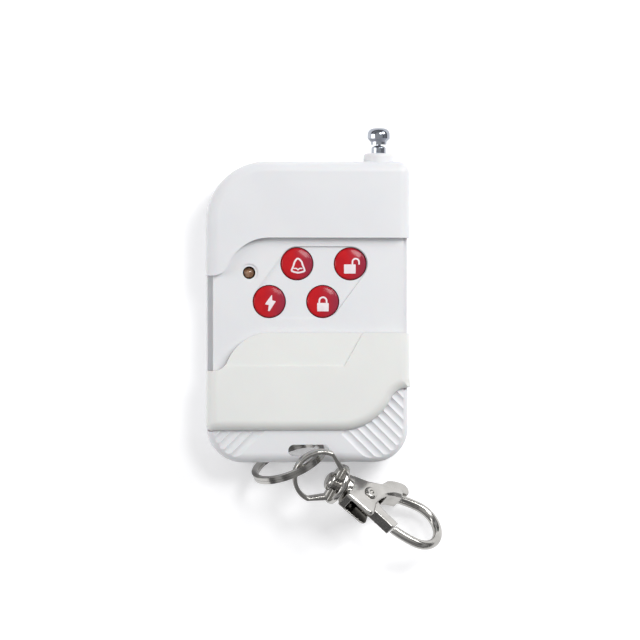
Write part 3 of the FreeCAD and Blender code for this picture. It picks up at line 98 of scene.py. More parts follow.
# %% [markdown]
# White plastic on a white table needs soft light from all round. Polished metal has no colour of its own:
# it shows its surroundings. So the remote lies in a tent that is white overhead, and on its way down the
# wall goes through a dark band, a bright one and a second dark one. These give the metal its dark rims
# and bright middles. The tent is the world's background, and a colour ramp reads how steeply the light
# comes down.

# %% Light tent
TENT_STRENGTH = 0.64
HORIZON = 0.02
HORIZON_GREY = (0.30, 0.30, 0.305, 1.0)
CROWN = 0.86
CROWN_WHITE = (1.0, 1.0, 1.0, 1.0)
BANDS = ((0.22, 0.20), (0.36, 0.75), (0.52, 0.80), (0.62, 0.22), (0.72, 0.30))
COOL = 1.02

bpy.context.scene.view_settings.view_transform = "Standard"
world = bpy.data.worlds.new("light_tent")
bpy.context.scene.world = world
world.use_nodes = True
sky = world.node_tree
background = sky.nodes["Background"]
background.inputs["Strength"].default_value = TENT_STRENGTH
where = sky.nodes.new("ShaderNodeTexCoord")
split = sky.nodes.new("ShaderNodeSeparateXYZ")
ramp = sky.nodes.new("ShaderNodeValToRGB")
sky.links.new(where.outputs["Generated"], split.inputs[0])
sky.links.new(split.outputs["Z"], ramp.inputs[0])
sky.links.new(ramp.outputs["Color"], background.inputs["Color"])
stops = ramp.color_ramp.elements
stops[0].position = HORIZON
stops[0].color = HORIZON_GREY
stops[1].position = CROWN
stops[1].color = CROWN_WHITE
for height, shade in BANDS:
    stop = stops.new(height)
    stop.color = (shade, shade, shade * COOL, 1.0)
print("the tent changes at heights", [round(stop.position, 2) for stop in stops])

# %% [markdown]
# A tent alone is too even: seams and grooves need light from one side. A key light at the upper right
# draws them, a small one higher up lights the tops, and a tall soft one at the left fills the flank.

# %% Lamps


def area_light(name, place, size, power):
    """A rectangular soft light that faces the remote."""
    data = bpy.data.lights.new(name, "AREA")
    data.shape = "RECTANGLE"
    data.size = size[0]
    data.size_y = size[1]
    data.energy = power
    lamp = put_in_scene(name, data)
    lamp.location = place
    lamp.rotation_euler = (Vector(place) * -1).to_track_quat("-Z", "Y").to_euler()


area_light("key", (0.42, 0.30, 0.36), (0.26, 0.26), 2.1)
area_light("top", (0.15, 0.20, 0.45), (0.15, 0.13), 0.80)
area_light("left_fill", (-0.50, 0.05, 0.26), (0.20, 0.45), 1.15)

# %% [markdown]
# The table is one matt sheet, far larger than the picture. It glows a little by itself, so that it stays
# pure white between the shadows and the shadows stay soft. It lies a hair below the remote's back, because
# two surfaces in the very same place flicker.

# %% The table
TABLE_HALF = 1.5
TABLE_DROP = 0.02 * MM
SHEET_COLOUR = (0.94, 0.94, 0.95, 1.0)
SHEET_ROUGHNESS = 0.7
SHEET_GLOW = 0.22

mesh = bpy.data.meshes.new("table")
corners = [(-TABLE_HALF, -TABLE_HALF, 0.0), (TABLE_HALF, -TABLE_HALF, 0.0),
           (TABLE_HALF, TABLE_HALF, 0.0), (-TABLE_HALF, TABLE_HALF, 0.0)]
mesh.from_pydata(corners, [], [(0, 1, 2, 3)])
paper = bpy.data.materials.new("pale_table")
paper.use_nodes = True
sheet_shader = paper.node_tree.nodes["Principled BSDF"]
sheet_shader.inputs["Base Color"].default_value = SHEET_COLOUR
sheet_shader.inputs["Roughness"].default_value = SHEET_ROUGHNESS
sheet_shader.inputs["Emission Color"].default_value = (1.0, 1.0, 1.0, 1.0)
sheet_shader.inputs["Emission Strength"].default_value = SHEET_GLOW
mesh.materials.append(paper)
table = put_in_scene("table", mesh)
table.location.z = -TABLE_DROP
print("table: %.1f m square" % (2 * TABLE_HALF))

# %% [markdown]
# Every finish on the remote is drawn by nodes instead of pictures, so that it stays sharp at any distance.
# The same few moves come back in each: feeding a socket, starting a node group, a noise, a mix of two
# colours and a change of range. Each gets a short name here.

# %% Helpers for node trees
COLOUR = "NodeSocketColor"
NUMBER = "NodeSocketFloat"


def rgb(red, green, blue):
    """A solid colour, with the fourth value that Blender wants."""
    return (red, green, blue, 1.0)


def feed(tree, socket, value):
    """Link an output to a socket, or set the socket to a plain value."""
    if hasattr(value, "links"):
        tree.links.new(value, socket)
    else:
        socket.default_value = value


def add_group(name, inputs, outputs):
    """An empty node group; inputs and outputs are (name, socket type, value)."""
    tree = bpy.data.node_groups.new(name, "ShaderNodeTree")
    for label, kind, value in inputs:
        socket = tree.interface.new_socket(label, in_out="INPUT", socket_type=kind)
        socket.default_value = value
    for label, kind in outputs:
        tree.interface.new_socket(label, in_out="OUTPUT", socket_type=kind)
    return tree, tree.nodes.new("NodeGroupInput"), tree.nodes.new("NodeGroupOutput")


def add_noise(tree, coordinates, size, detail):
    """A noise texture; size, its scale, may be an output."""
    noise = tree.nodes.new("ShaderNodeTexNoise")
    noise.inputs["Detail"].default_value = detail
    tree.links.new(coordinates, noise.inputs["Vector"])
    feed(tree, noise.inputs["Scale"], size)
    return noise.outputs["Fac"]


def add_mix(tree, factor, first, second):
    """Mix two colours by a factor; each may be an output or a value."""
    mix = tree.nodes.new("ShaderNodeMix")
    mix.data_type = "RGBA"
    feed(tree, mix.inputs["Factor"], factor)
    feed(tree, mix.inputs[6], first)
    feed(tree, mix.inputs[7], second)
    return mix.outputs[2]


def add_map(tree, value, span, low, high):
    """Map a value from a span of (from, to) to another range, whose ends may be outputs."""
    mapped = tree.nodes.new("ShaderNodeMapRange")
    tree.links.new(value, mapped.inputs["Value"])
    mapped.inputs["From Min"].default_value = span[0]
    mapped.inputs["From Max"].default_value = span[1]
    feed(tree, mapped.inputs["To Min"], low)
    feed(tree, mapped.inputs["To Max"], high)
    return mapped.outputs["Result"]


# %% [markdown]
# Moulded plastic is never one flat value. The skin carries the spark-eroded texture of the mould, the
# colour drifts a little with the flow of the melt, and gloss varies over the part. Every plastic piece
# uses the same effect, so it is a node group: it works out colour, roughness and height, and each
# material feeds them to its own shader. A noise rarely leaves the middle of its range, so only that
# middle is spread over the whole change.

# %% The moulded skin, used by every plastic piece
WHOLE = (0.0, 1.0)
MIDDLE = (0.35, 0.65)
WIDE_MIDDLE = (0.3, 0.7)
GLOSS_SIZE = 420.0

skin, skin_in, skin_out = add_group(
    "moulded_skin",
    [("Colour", COLOUR, rgb(0.8, 0.8, 0.8)), ("Second colour", COLOUR, rgb(0.7, 0.7, 0.7)),
     ("Flow size", NUMBER, 90.0), ("Grain size", NUMBER, 5200.0),
     ("Dull", NUMBER, 0.45), ("Bright", NUMBER, 0.35)],
    [("Colour", COLOUR), ("Roughness", NUMBER), ("Height", NUMBER)])
spot = skin.nodes.new("ShaderNodeTexCoord").outputs["Object"]
flow = add_map(skin, add_noise(skin, spot, skin_in.outputs["Flow size"], detail=3.0), MIDDLE, 0.0, 1.0)
skin.links.new(add_mix(skin, flow, skin_in.outputs["Colour"], skin_in.outputs["Second colour"]),
               skin_out.inputs["Colour"])
gloss = add_noise(skin, spot, GLOSS_SIZE, detail=4.0)
skin.links.new(add_map(skin, gloss, WIDE_MIDDLE, skin_in.outputs["Bright"], skin_in.outputs["Dull"]),
               skin_out.inputs["Roughness"])
skin.links.new(add_noise(skin, spot, skin_in.outputs["Grain size"], detail=1.0), skin_out.inputs["Height"])
print("the moulded skin is made of", len(skin.nodes), "nodes")

# %% [markdown]
# Plated metal is mirror-like, but never a perfect mirror: hands and keys rub it cloudy in places and leave
# fine scratches. The second group mixes a clean and a cloudy tone by a slow noise, raises the roughness
# in the cloudy places, and stretches a fine noise into scratches for the bump.

# %% The polished metal, used by chrome, nickel, steel and the other metals
SCRATCH_STRETCH = (1.0, 0.08, 0.5)

polish, polish_in, polish_out = add_group(
    "polished_metal",
    [("Colour", COLOUR, rgb(0.8, 0.8, 0.8)), ("Cloud colour", COLOUR, rgb(0.7, 0.7, 0.7)),
     ("Cloud size", NUMBER, 300.0), ("Smooth", NUMBER, 0.08), ("Rubbed", NUMBER, 0.2),
     ("Scratch size", NUMBER, 2500.0)],
    [("Colour", COLOUR), ("Roughness", NUMBER), ("Height", NUMBER)])
spot = polish.nodes.new("ShaderNodeTexCoord").outputs["Object"]
slow = add_noise(polish, spot, polish_in.outputs["Cloud size"], detail=3.0)
clouds = add_map(polish, slow, MIDDLE, 0.0, 1.0)
polish.links.new(add_mix(polish, clouds, polish_in.outputs["Colour"], polish_in.outputs["Cloud colour"]),
                 polish_out.inputs["Colour"])
polish.links.new(add_map(polish, clouds, WHOLE, polish_in.outputs["Smooth"], polish_in.outputs["Rubbed"]),
                 polish_out.inputs["Roughness"])
stretch = polish.nodes.new("ShaderNodeMapping")
stretch.inputs["Scale"].default_value = SCRATCH_STRETCH
polish.links.new(spot, stretch.inputs["Vector"])
scratches = add_noise(polish, stretch.outputs["Vector"], polish_in.outputs["Scratch size"], detail=1.0)
polish.links.new(scratches, polish_out.inputs["Height"])
print("the polished metal is made of", len(polish.nodes), "nodes")

# %% [markdown]
# A material places one of the two groups with its own values and links what the group gives out to its
# own shader. What is the same all over a surface, such as how metallic it is, is set on the shader itself.

# %% Building a material from a group
RELIEF = 0.02 * MM


def effect_of(made):
    """The node of a material that holds its group."""
    return [node for node in made.node_tree.nodes if node.type == "GROUP"][0]


def surface(name, group, settings, bump, **fixed):
    """A material that takes colour, roughness and bump from a group; fixed values go on its shader."""
    made = bpy.data.materials.new(name)
    made.use_nodes = True
    tree = made.node_tree
    shader = tree.nodes["Principled BSDF"]
    effect = tree.nodes.new("ShaderNodeGroup")
    effect.node_tree = group
    for label, value in settings.items():
        effect.inputs[label].default_value = value
    tree.links.new(effect.outputs["Colour"], shader.inputs["Base Color"])
    tree.links.new(effect.outputs["Roughness"], shader.inputs["Roughness"])
    relief = tree.nodes.new("ShaderNodeBump")
    relief.inputs["Strength"].default_value = bump
    relief.inputs["Distance"].default_value = RELIEF
    tree.links.new(effect.outputs["Height"], relief.inputs["Height"])
    tree.links.new(relief.outputs["Normal"], shader.inputs["Normal"])
    for label, value in fixed.items():
        shader.inputs[label.replace("_", " ")].default_value = value
    return made


# %% [markdown]
# The housing is white ABS with a satin spark texture. The slide cover comes from another mould, and in the
# photograph it is a touch warmer than the hood. A little light enters white plastic and comes out again,
# which softens its shadows, so the shader gets a small subsurface weight.

# %% White plastics
WHITE_ABS = {"Subsurface_Weight": 0.10, "Subsurface_Scale": 0.6 * MM, "Specular_IOR_Level": 0.45}

white_skin = surface("white_abs", skin, {
    "Colour": rgb(0.685, 0.69, 0.705), "Second colour": rgb(0.66, 0.665, 0.685),
    "Flow size": 60.0, "Grain size": 5200.0, "Dull": 0.46, "Bright": 0.36}, 0.10, **WHITE_ABS)
cover_skin = surface("cover_abs", skin, {
    "Colour": rgb(0.715, 0.722, 0.702), "Second colour": rgb(0.695, 0.70, 0.684),
    "Flow size": 60.0, "Grain size": 5200.0, "Dull": 0.44, "Bright": 0.34}, 0.10, **WHITE_ABS)
print("white plastics:", white_skin.name, cover_skin.name)

# %% [markdown]
# Chrome on the antenna is bluish and the smoothest, nickel on the ring and the clasp is warmer and a
# little dull, and the inner metals, such as the spring, the screws and the tinned plates, are duller still.
# The tent is bright, so the plated metals' own colours are dark: otherwise their rims melt into the white
# table. The coil's copper wire shines red through its enamel.

# %% Metals
chrome = surface("bright_chrome", polish, {
    "Colour": rgb(0.38, 0.40, 0.44), "Cloud colour": rgb(0.30, 0.32, 0.36), "Cloud size": 250.0,
    "Smooth": 0.05, "Rubbed": 0.12, "Scratch size": 3000.0}, 0.05, Metallic=1.0)
nickel = surface("nickel_plate", polish, {
    "Colour": rgb(0.48, 0.47, 0.45), "Cloud colour": rgb(0.40, 0.39, 0.37), "Cloud size": 220.0,
    "Smooth": 0.10, "Rubbed": 0.20, "Scratch size": 2200.0}, 0.10, Metallic=1.0)
steel = surface("spring_steel", polish, {
    "Colour": rgb(0.60, 0.59, 0.57), "Cloud colour": rgb(0.48, 0.47, 0.45), "Cloud size": 600.0,
    "Smooth": 0.22, "Rubbed": 0.38, "Scratch size": 5000.0}, 0.2, Metallic=1.0)
zinc = surface("zinc_screw", polish, {
    "Colour": rgb(0.52, 0.52, 0.53), "Cloud colour": rgb(0.40, 0.41, 0.42), "Cloud size": 900.0,
    "Smooth": 0.28, "Rubbed": 0.45, "Scratch size": 4000.0}, 0.25, Metallic=1.0)
tin = surface("tin_plate", polish, {
    "Colour": rgb(0.66, 0.66, 0.64), "Cloud colour": rgb(0.52, 0.52, 0.50), "Cloud size": 700.0,
    "Smooth": 0.25, "Rubbed": 0.42, "Scratch size": 4000.0}, 0.2, Metallic=1.0)
copper = surface("enamelled_copper", polish, {
    "Colour": rgb(0.62, 0.22, 0.07), "Cloud colour": rgb(0.48, 0.14, 0.04), "Cloud size": 900.0,
    "Smooth": 0.18, "Rubbed": 0.30, "Scratch size": 5000.0}, 0.1, Metallic=1.0)
print("metals:", [made.name for made in (chrome, nickel, steel, zinc, tin, copper)])

# %% [markdown]
# Inside the case sit black epoxy chips, black switch housings, brown ceramic chips and a cell in a dark
# blue shrink film. They show only through the slot, the door and gaps, but each has its own finish.

# %% Dark plastics and ceramics
epoxy = surface("black_epoxy", skin, {
    "Colour": rgb(0.018, 0.018, 0.02), "Second colour": rgb(0.03, 0.03, 0.032), "Flow size": 900.0,
    "Grain size": 9000.0, "Dull": 0.62, "Bright": 0.48}, 0.3)
switch_case = surface("switch_plastic", skin, {
    "Colour": rgb(0.02, 0.02, 0.022), "Second colour": rgb(0.035, 0.035, 0.035), "Flow size": 600.0,
    "Grain size": 7000.0, "Dull": 0.5, "Bright": 0.38}, 0.2)
ceramic = surface("chip_ceramic", skin, {
    "Colour": rgb(0.50, 0.33, 0.17), "Second colour": rgb(0.40, 0.26, 0.13), "Flow size": 1500.0,
    "Grain size": 9000.0, "Dull": 0.6, "Bright": 0.45}, 0.2)
wrap = surface("cell_wrap", skin, {
    "Colour": rgb(0.02, 0.03, 0.09), "Second colour": rgb(0.03, 0.045, 0.13), "Flow size": 200.0,
    "Grain size": 2500.0, "Dull": 0.28, "Bright": 0.16}, 0.15, Coat_Weight=0.4, Coat_Roughness=0.1)
print("finishes inside the case:", [made.name for made in (epoxy, switch_case, ceramic, wrap)])

# %% [markdown]
# The lamp is a round lens of tinted epoxy that is dark when it is off: one sees a brown disc with the
# pale lead frame inside. A coarse noise between two ambers gives that depth without a second piece.

# %% The lamp's lens
amber = surface("amber_epoxy", skin, {
    "Colour": rgb(0.17, 0.075, 0.035), "Second colour": rgb(0.36, 0.20, 0.11), "Flow size": 1300.0,
    "Grain size": 1500.0, "Dull": 0.16, "Bright": 0.08}, 0.1, Coat_Weight=0.8, Coat_Roughness=0.05)
print("lens:", amber.name)

# %% [markdown]
# The circuit board has a green solder mask over copper tracks. The tracks are a regular maze in plan,
# so a brick texture with thin mortar lines draws them, a little lighter than the mask.

# %% The circuit board
TRACK_SIZE = 180.0
TRACK_WIDTH = 0.06
MASK_ALONE = rgb(0.0, 0.0, 0.0)
TRACK_BELOW = rgb(1.0, 1.0, 1.0)
TRACK_GREEN = rgb(0.035, 0.24, 0.08)

board_skin = surface("solder_mask", skin, {
    "Colour": rgb(0.012, 0.11, 0.04), "Second colour": rgb(0.016, 0.14, 0.05), "Flow size": 300.0,
    "Grain size": 5000.0, "Dull": 0.38, "Bright": 0.25}, 0.15, Coat_Weight=0.5, Coat_Roughness=0.12)
board_tree = board_skin.node_tree
tracks = board_tree.nodes.new("ShaderNodeTexBrick")
tracks.inputs["Scale"].default_value = TRACK_SIZE
tracks.inputs["Mortar Size"].default_value = TRACK_WIDTH
tracks.inputs["Color1"].default_value = MASK_ALONE
tracks.inputs["Color2"].default_value = MASK_ALONE
tracks.inputs["Mortar"].default_value = TRACK_BELOW
board_spot = board_tree.nodes.new("ShaderNodeTexCoord")
board_tree.links.new(board_spot.outputs["Object"], tracks.inputs["Vector"])
board_colour = add_mix(board_tree, tracks.outputs["Color"], effect_of(board_skin).outputs["Colour"],
                       TRACK_GREEN)
board_tree.links.new(board_colour, board_tree.nodes["Principled BSDF"].inputs["Base Color"])
print("the board's material has", len(board_tree.nodes), "nodes")

# %% [markdown]
# The buttons are glossy red domes. Their colour is pure red on the left, and a painted reflection of the
# light from the right deepens it to a plum red on the right. The painted reflection goes with the place
# on each button, so the material measures how far a point lies from the button's own middle.

# %% Button material
RED = rgb(0.50, 0.008, 0.012)
DEEP_RED = rgb(0.43, 0.006, 0.012)
# painted reflection: the plum stands for light from the right, mirrored in the glossy dome
PAINTED_REFLECTION_PLUM = rgb(0.24, 0.024, 0.050)
PAINTED_REFLECTION_START = -1.2 * MM
PAINTED_REFLECTION_FULL = 4.2 * MM


def button_surface(name, middle_x):
    """Red on the left of the dome, with a painted plum reflection of the light on the right."""
    made = surface(name, skin, {
        "Colour": RED, "Second colour": DEEP_RED, "Flow size": 500.0,
        "Grain size": 1200.0, "Dull": 0.15, "Bright": 0.09}, 0.08, Specular_IOR_Level=0.22)
    tree = made.node_tree
    parts = tree.nodes.new("ShaderNodeSeparateXYZ")
    tree.links.new(tree.nodes.new("ShaderNodeTexCoord").outputs["Object"], parts.inputs[0])
    change = (middle_x + PAINTED_REFLECTION_START, middle_x + PAINTED_REFLECTION_FULL)
    # the painted reflection grows from red to plum towards the right of each button
    painted_reflection_share = add_map(tree, parts.outputs["X"], change, 0.0, 1.0)
    tree.links.new(add_mix(tree, painted_reflection_share, effect_of(made).outputs["Colour"], PAINTED_REFLECTION_PLUM),
                   tree.nodes["Principled BSDF"].inputs["Base Color"])
    return made


# %% [markdown]
# One table says which finish each piece of the frame gets. Buttons, switches and plungers come in fours
# with the same names at the end, so a loop adds them. It also notes the top of each dome, where the signs
# will be printed.

# %% Materials on the pieces of the frame
BUTTON_NAMES = ("bell", "unlock", "bolt", "lock")
FINISHES = {
    "rear_shell": white_skin, "front_shell": white_skin, "slide_cover": cover_skin,
    "battery_door": white_skin, "circuit_board": board_skin, "encoder_chip": epoxy, "transistor": epoxy,
    "saw_resonator": tin, "resistors": epoxy, "capacitors": ceramic, "led_lens": amber, "led_leads": tin,
    "antenna_coil": copper, "battery": wrap, "battery_spring": steel, "battery_plate": tin,
    "antenna_outer_tube": chrome, "antenna_tube_2": chrome, "antenna_tube_3": chrome,
    "antenna_tip_rod": chrome, "antenna_bracket": tin, "case_screws": zinc, "antenna_screw": zinc,
    "split_ring": nickel, "swivel_eye": nickel, "clasp_body": nickel, "clasp_lever": nickel,
    "clasp_rivet": nickel, "clasp_spring": steel}


def dress(thing, made):
    """Give a piece one material in place of what it has."""
    slots = thing.data.materials
    slots.clear()
    slots.append(made)


dome_top = {}
for name in BUTTON_NAMES:
    low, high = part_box("button_" + name)
    dome_top[name] = Vector(((low.x + high.x) / 2, (low.y + high.y) / 2, high.z))
    FINISHES["button_" + name] = button_surface("red_dome_" + name, dome_top[name].x)
    FINISHES["switch_" + name] = switch_case
    FINISHES["plunger_" + name] = switch_case
for node, made in FINISHES.items():
    dress(nodes[node], made)
print("finishes given:", len(FINISHES), "of", len(nodes))

# %% [markdown]
# The frame's pieces come as facets. Facets that meet at a small angle belong to one curved face, so they
# are shaded as one, while real edges stay crisp. That only changes the shading, not the shape.

# %% Smooth shading
EDGE_ANGLE = math.radians(28.0)

for thing in nodes.values():
    thing.data.shade_smooth()
    thing.data.set_sharp_from_angle(angle=EDGE_ANGLE)
print("edges sharper than %.0f degrees stay crisp" % math.degrees(EDGE_ANGLE))

# %% [markdown]
# A mesh changes shape by cutting: a tool is drawn as a closed mesh, and a Boolean modifier takes it away. The
# cut needs facets that share their corners, but shared corners blend a flat face into the rounded edge
# beside it. So the border of each face is marked sharp first: flat faces stay flat, and rounds stay round.

# %% A copy that can be cut
WELD_DISTANCE = 0.001 * MM


def welded_copy(node):
    """A copy of a piece's mesh whose facets share their corners, with a sharp border round each face."""
    mesh = nodes[node].data.copy()
    stored = mesh.attributes.get("custom_normal")
    if stored:
        mesh.attributes.remove(stored)
    shape = bmesh.new()
    shape.from_mesh(mesh)
    for edge in shape.edges:
        edge.smooth = not edge.is_boundary
    bmesh.ops.remove_doubles(shape, verts=shape.verts, dist=WELD_DISTANCE)
    shape.to_mesh(mesh)
    shape.free()
    return mesh


def applied(piece):
    """Bake a piece's modifiers into its mesh."""
    bpy.context.view_layer.update()
    shown = piece.evaluated_get(bpy.context.evaluated_depsgraph_get())
    piece.data = bpy.data.meshes.new_from_object(shown)
    piece.modifiers.clear()


# %% [markdown]
# The tool is an object only for as long as the modifier needs it. The result is baked into the copy's
# mesh, the copy stands in for the plain piece, and only edges where faces meet at a wide angle stay
# sharp.

# %% Cutting a tool out of a copy


def sharpened(mesh):
    """Shade a mesh smooth, but for the edges where its faces meet at a wide angle."""
    shape = bmesh.new()
    shape.from_mesh(mesh)
    for face in shape.faces:
        face.smooth = True
    for edge in shape.edges:
        if edge.calc_face_angle(0.0) > EDGE_ANGLE:
            edge.smooth = False
    shape.to_mesh(mesh)
    shape.free()


def carved(node, name, tool):
    """A copy of a piece with the tool's shape cut out of it, which stands in for that piece."""
    mesh = bpy.data.meshes.new("tool")
    tool.to_mesh(mesh)
    tool.free()
    cutter = put_in_scene("tool", mesh)
    piece = put_in_scene(name, welded_copy(node))
    cut = piece.modifiers.new("cut", "BOOLEAN")
    cut.operation = "DIFFERENCE"
    cut.solver = "EXACT"
    cut.use_self = True
    cut.object = cutter
    applied(piece)
    bpy.data.objects.remove(cutter)
    sharpened(piece.data)
    dress(piece, FINISHES[node])
    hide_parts(node)
    print(name, "has", len(piece.data.polygons), "faces")
    return piece


# %% [markdown]
# The two shells meet a little below the middle of the flank. Moulded edges are never quite flush, so the
# front shell's lower edge has a fine rebate all round, and it shows as a thin dark line. The rebate
# follows the housing's plan, a rectangle whose corners have three different radii. The arcs of those
# corners come from a helper that the padlocks on the buttons use again.

# %% The housing's plan
PLAN_HALF = (24.65, 37.0)
PLAN_RADII = (2.9, 14.75, 8.5, 8.5)
PLAN_STEPS = 12


def arc(centre, radius, start, end, steps=10):
    """Points along a circle, from one angle in degrees to another."""
    points = []
    for i in range(steps + 1):
        angle = math.radians(start + (end - start) * i / steps)
        points.append((centre[0] + radius * math.cos(angle), centre[1] + radius * math.sin(angle)))
    return points


def plan_line(grow):
    """The plan of the housing, with its own radius at each corner, grown by a distance."""
    points = []
    for i, (side_x, side_y) in enumerate(((1, 1), (-1, 1), (-1, -1), (1, -1))):
        radius = PLAN_RADII[i]
        centre = (side_x * (PLAN_HALF[0] - radius), side_y * (PLAN_HALF[1] - radius))
        points += arc(centre, radius + grow, 90 * i, 90 * (i + 1), PLAN_STEPS)
    return points


print("points round the plan:", len(plan_line(0.0)))

# %% [markdown]
# The rebate's tool is a band round the housing. Its section is a small rectangle, so four lines run round
# the plan, one at each corner of the section, and faces join them into a closed ring. The band reaches
# out past the flank, so the cut is open to the outside. The grip grooves of the next step join the same
# tool, and both are cut in one go.

# %% The parting line
PARTING = 6.5
SEAM_HEIGHT = 0.2
SEAM_DEPTH = 0.25
SEAM_REACH = 0.6

shell_tool = bmesh.new()
rows = []
for grow, height in ((-SEAM_DEPTH, PARTING - SEAM_HEIGHT), (SEAM_REACH, PARTING - SEAM_HEIGHT),
                     (SEAM_REACH, PARTING + SEAM_HEIGHT), (-SEAM_DEPTH, PARTING + SEAM_HEIGHT)):
    rows.append([shell_tool.verts.new(Vector((x, y, height)) * MM) for x, y in plan_line(grow)])
around = len(rows[0])
for i in range(len(rows)):
    after = rows[(i + 1) % len(rows)]
    for j in range(around):
        k = (j + 1) % around
        shell_tool.faces.new((rows[i][j], rows[i][k], after[k], after[j]))
bmesh.ops.recalc_face_normals(shell_tool, faces=shell_tool.faces)
print("the seam's tool has", len(shell_tool.faces), "faces")

# %% [markdown]
# Both lower corners of the front have grip grooves at 45 degrees, so that a thumb can hold the remote
# while the cover slides. The solid has them on the right corner. On the left the same round cutter is
# laid over a copy of the shell seven times, and that copy stands in for the plain shell.

# %% Grip grooves of the left corner
GROOVE_RADIUS = 1.6
GROOVE_DEPTH = 0.36
GROOVE_PITCH = 1.9
GROOVE_COUNT = 7
FIRST_GROOVE = 12.02
GROOVE_START = -26.9
GROOVE_LENGTH = 30.0
GROOVE_SIDES = 64
DECK_TOP = 12.6

along = Vector((1.0, 1.0, 0.0)).normalized()
across = Vector((1.0, -1.0, 0.0)).normalized()
for i in range(GROOVE_COUNT):
    middle = (across * (FIRST_GROOVE - i * GROOVE_PITCH) + along * (GROOVE_START - GROOVE_LENGTH / 2)
              + Vector((0.0, 0.0, DECK_TOP + GROOVE_RADIUS - GROOVE_DEPTH)))
    turn = Vector((0.0, 0.0, 1.0)).rotation_difference(along).to_matrix().to_4x4()
    turn.translation = middle * MM
    bmesh.ops.create_cone(shell_tool, cap_ends=True, segments=GROOVE_SIDES, radius1=GROOVE_RADIUS * MM,
                          radius2=GROOVE_RADIUS * MM, depth=GROOVE_LENGTH * MM, matrix=turn)
shell = carved("front_shell", "front_shell_grooved", shell_tool)
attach(shell, "housing")

# %% [markdown]
# The clasp's rivet is a semi-tubular one: a punch rolls its end open, which leaves a small dish in the head.
# A ball that sinks into the end of the rivet cuts that dish. The rivet lies on the lever's hinge line.

# %% The dished end of the rivet
DISH_RADIUS = 0.62
DISH_DEPTH = 0.42
BALL_ROUNDS = 4

hinge = [joint for joint in frame["record"]["behaviour"]["joints"] if joint["name"] == "lever_open"][0]
line = Vector(hinge["axis"]).normalized()
foot = Vector(hinge["pos_m"])
head_height = max((vert.co - foot).dot(line) for vert in nodes["clasp_rivet"].data.vertices)
rivet_tool = bmesh.new()
ball = bmesh.ops.create_icosphere(rivet_tool, subdivisions=BALL_ROUNDS, radius=DISH_RADIUS * MM)["verts"]
bmesh.ops.translate(rivet_tool, verts=ball,
                    vec=foot + line * (head_height + (DISH_RADIUS - DISH_DEPTH) * MM))
rivet = carved("clasp_rivet", "clasp_rivet_dished", rivet_tool)
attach(rivet, "clasp")
print("rivet head stands %.2f mm from the hinge's middle" % (head_height / MM))

# %% [markdown]
# The clasp, its lever and the swivel eye are zinc castings, tumbled in a drum before they are plated, so
# no edge on them is sharp. A voxel remesh gives an even skin over the whole casting, and a few rounds of
# smoothing then wear down its edges as the drum does. Each casting stands in for its plain solid.

# %% Tumbled castings
WEAR = 0.5


def casting(node, body, voxel, rounds):
    """An evenly meshed copy of a piece with tumbled edges, in place of the plain one."""
    piece = put_in_scene(node + "_cast", welded_copy(node))
    remesh = piece.modifiers.new("voxels", "REMESH")
    remesh.mode = "VOXEL"
    remesh.voxel_size = voxel * MM
    smooth = piece.modifiers.new("tumbled", "SMOOTH")
    smooth.factor = WEAR
    smooth.iterations = rounds
    applied(piece)
    piece.data.shade_smooth()
    dress(piece, FINISHES[node])
    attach(piece, body)
    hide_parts(node)
    print(node, "has", len(piece.data.polygons), "faces as a casting")


casting("clasp_body", "clasp", voxel=0.14, rounds=8)
casting("clasp_lever", "clasp_lever", voxel=0.12, rounds=8)
casting("swivel_eye", "swivel_eye", voxel=0.10, rounds=12)

# %% [markdown]
# The signs are pad printed: a soft pad lays a thin film of white ink over the dome, and the film follows
# its curve. Each sign is drawn flat from strokes and filled outlines in millimetres about the button's
# middle, cut into small squares so that it can bend, and then laid on the sphere of the dome.

# %% Printing ink
ink = surface("printed_white", skin, {
    "Colour": rgb(0.78, 0.71, 0.73), "Second colour": rgb(0.72, 0.64, 0.67), "Flow size": 900.0,
    "Grain size": 8000.0, "Dull": 0.5, "Bright": 0.4}, 0.1)
print("ink:", ink.name)

# %% [markdown]
# A sign needs round lines, and few points are easier to place than many. A Catmull-Rom spline runs through
# every point that it is given, so the bell's outline needs only ten.

# %% A smooth line through a few points


def curve_through(points, closed, steps=5):
    """A smooth line through a few points, as a draughtsman's spline draws it."""
    count = len(points)
    line = []
    spans = count if closed else count - 1
    for i in range(spans):
        around = []
        for j in (i - 1, i, i + 1, i + 2):
            around.append(Vector(points[j % count] if closed else points[min(max(j, 0), count - 1)]))
        before, first, second, after = around
        for k in range(steps):
            t = k / steps
            line.append(0.5 * (2 * first + (second - before) * t
                               + (2 * before - 5 * first + 4 * second - after) * t * t
                               + (3 * first - before - 3 * second + after) * t ** 3))
    if not closed:
        line.append(Vector(points[-1]))
    return line


# %% [markdown]
# A filled outline is one flat face. A stroke is a ribbon: two rows of points, half the width to each side
# of a line. Where the line is open, the ribbon narrows along a half circle at both ends, as a pen's does.

# %% Fills and strokes
END_TURNS = (30, 60, 85)


def fill(sheet, points):
    """A flat face inside an outline."""
    sheet.faces.new([sheet.verts.new((x, y, 0.0)) for x, y in points])


def rounded_ends(line, width):
    """A line with a few more points at each end, and half the width of its ribbon at each point."""
    halves = [width / 2] * len(line)
    ahead = (line[-1] - line[-2]).normalized()
    behind = (line[0] - line[1]).normalized()
    first, last = line[0], line[-1]
    for turn in END_TURNS:
        step = width / 2 * math.sin(math.radians(turn))
        half = width / 2 * math.cos(math.radians(turn))
        line = [first + behind * step] + line + [last + ahead * step]
        halves = [half] + halves + [half]
    return line, halves


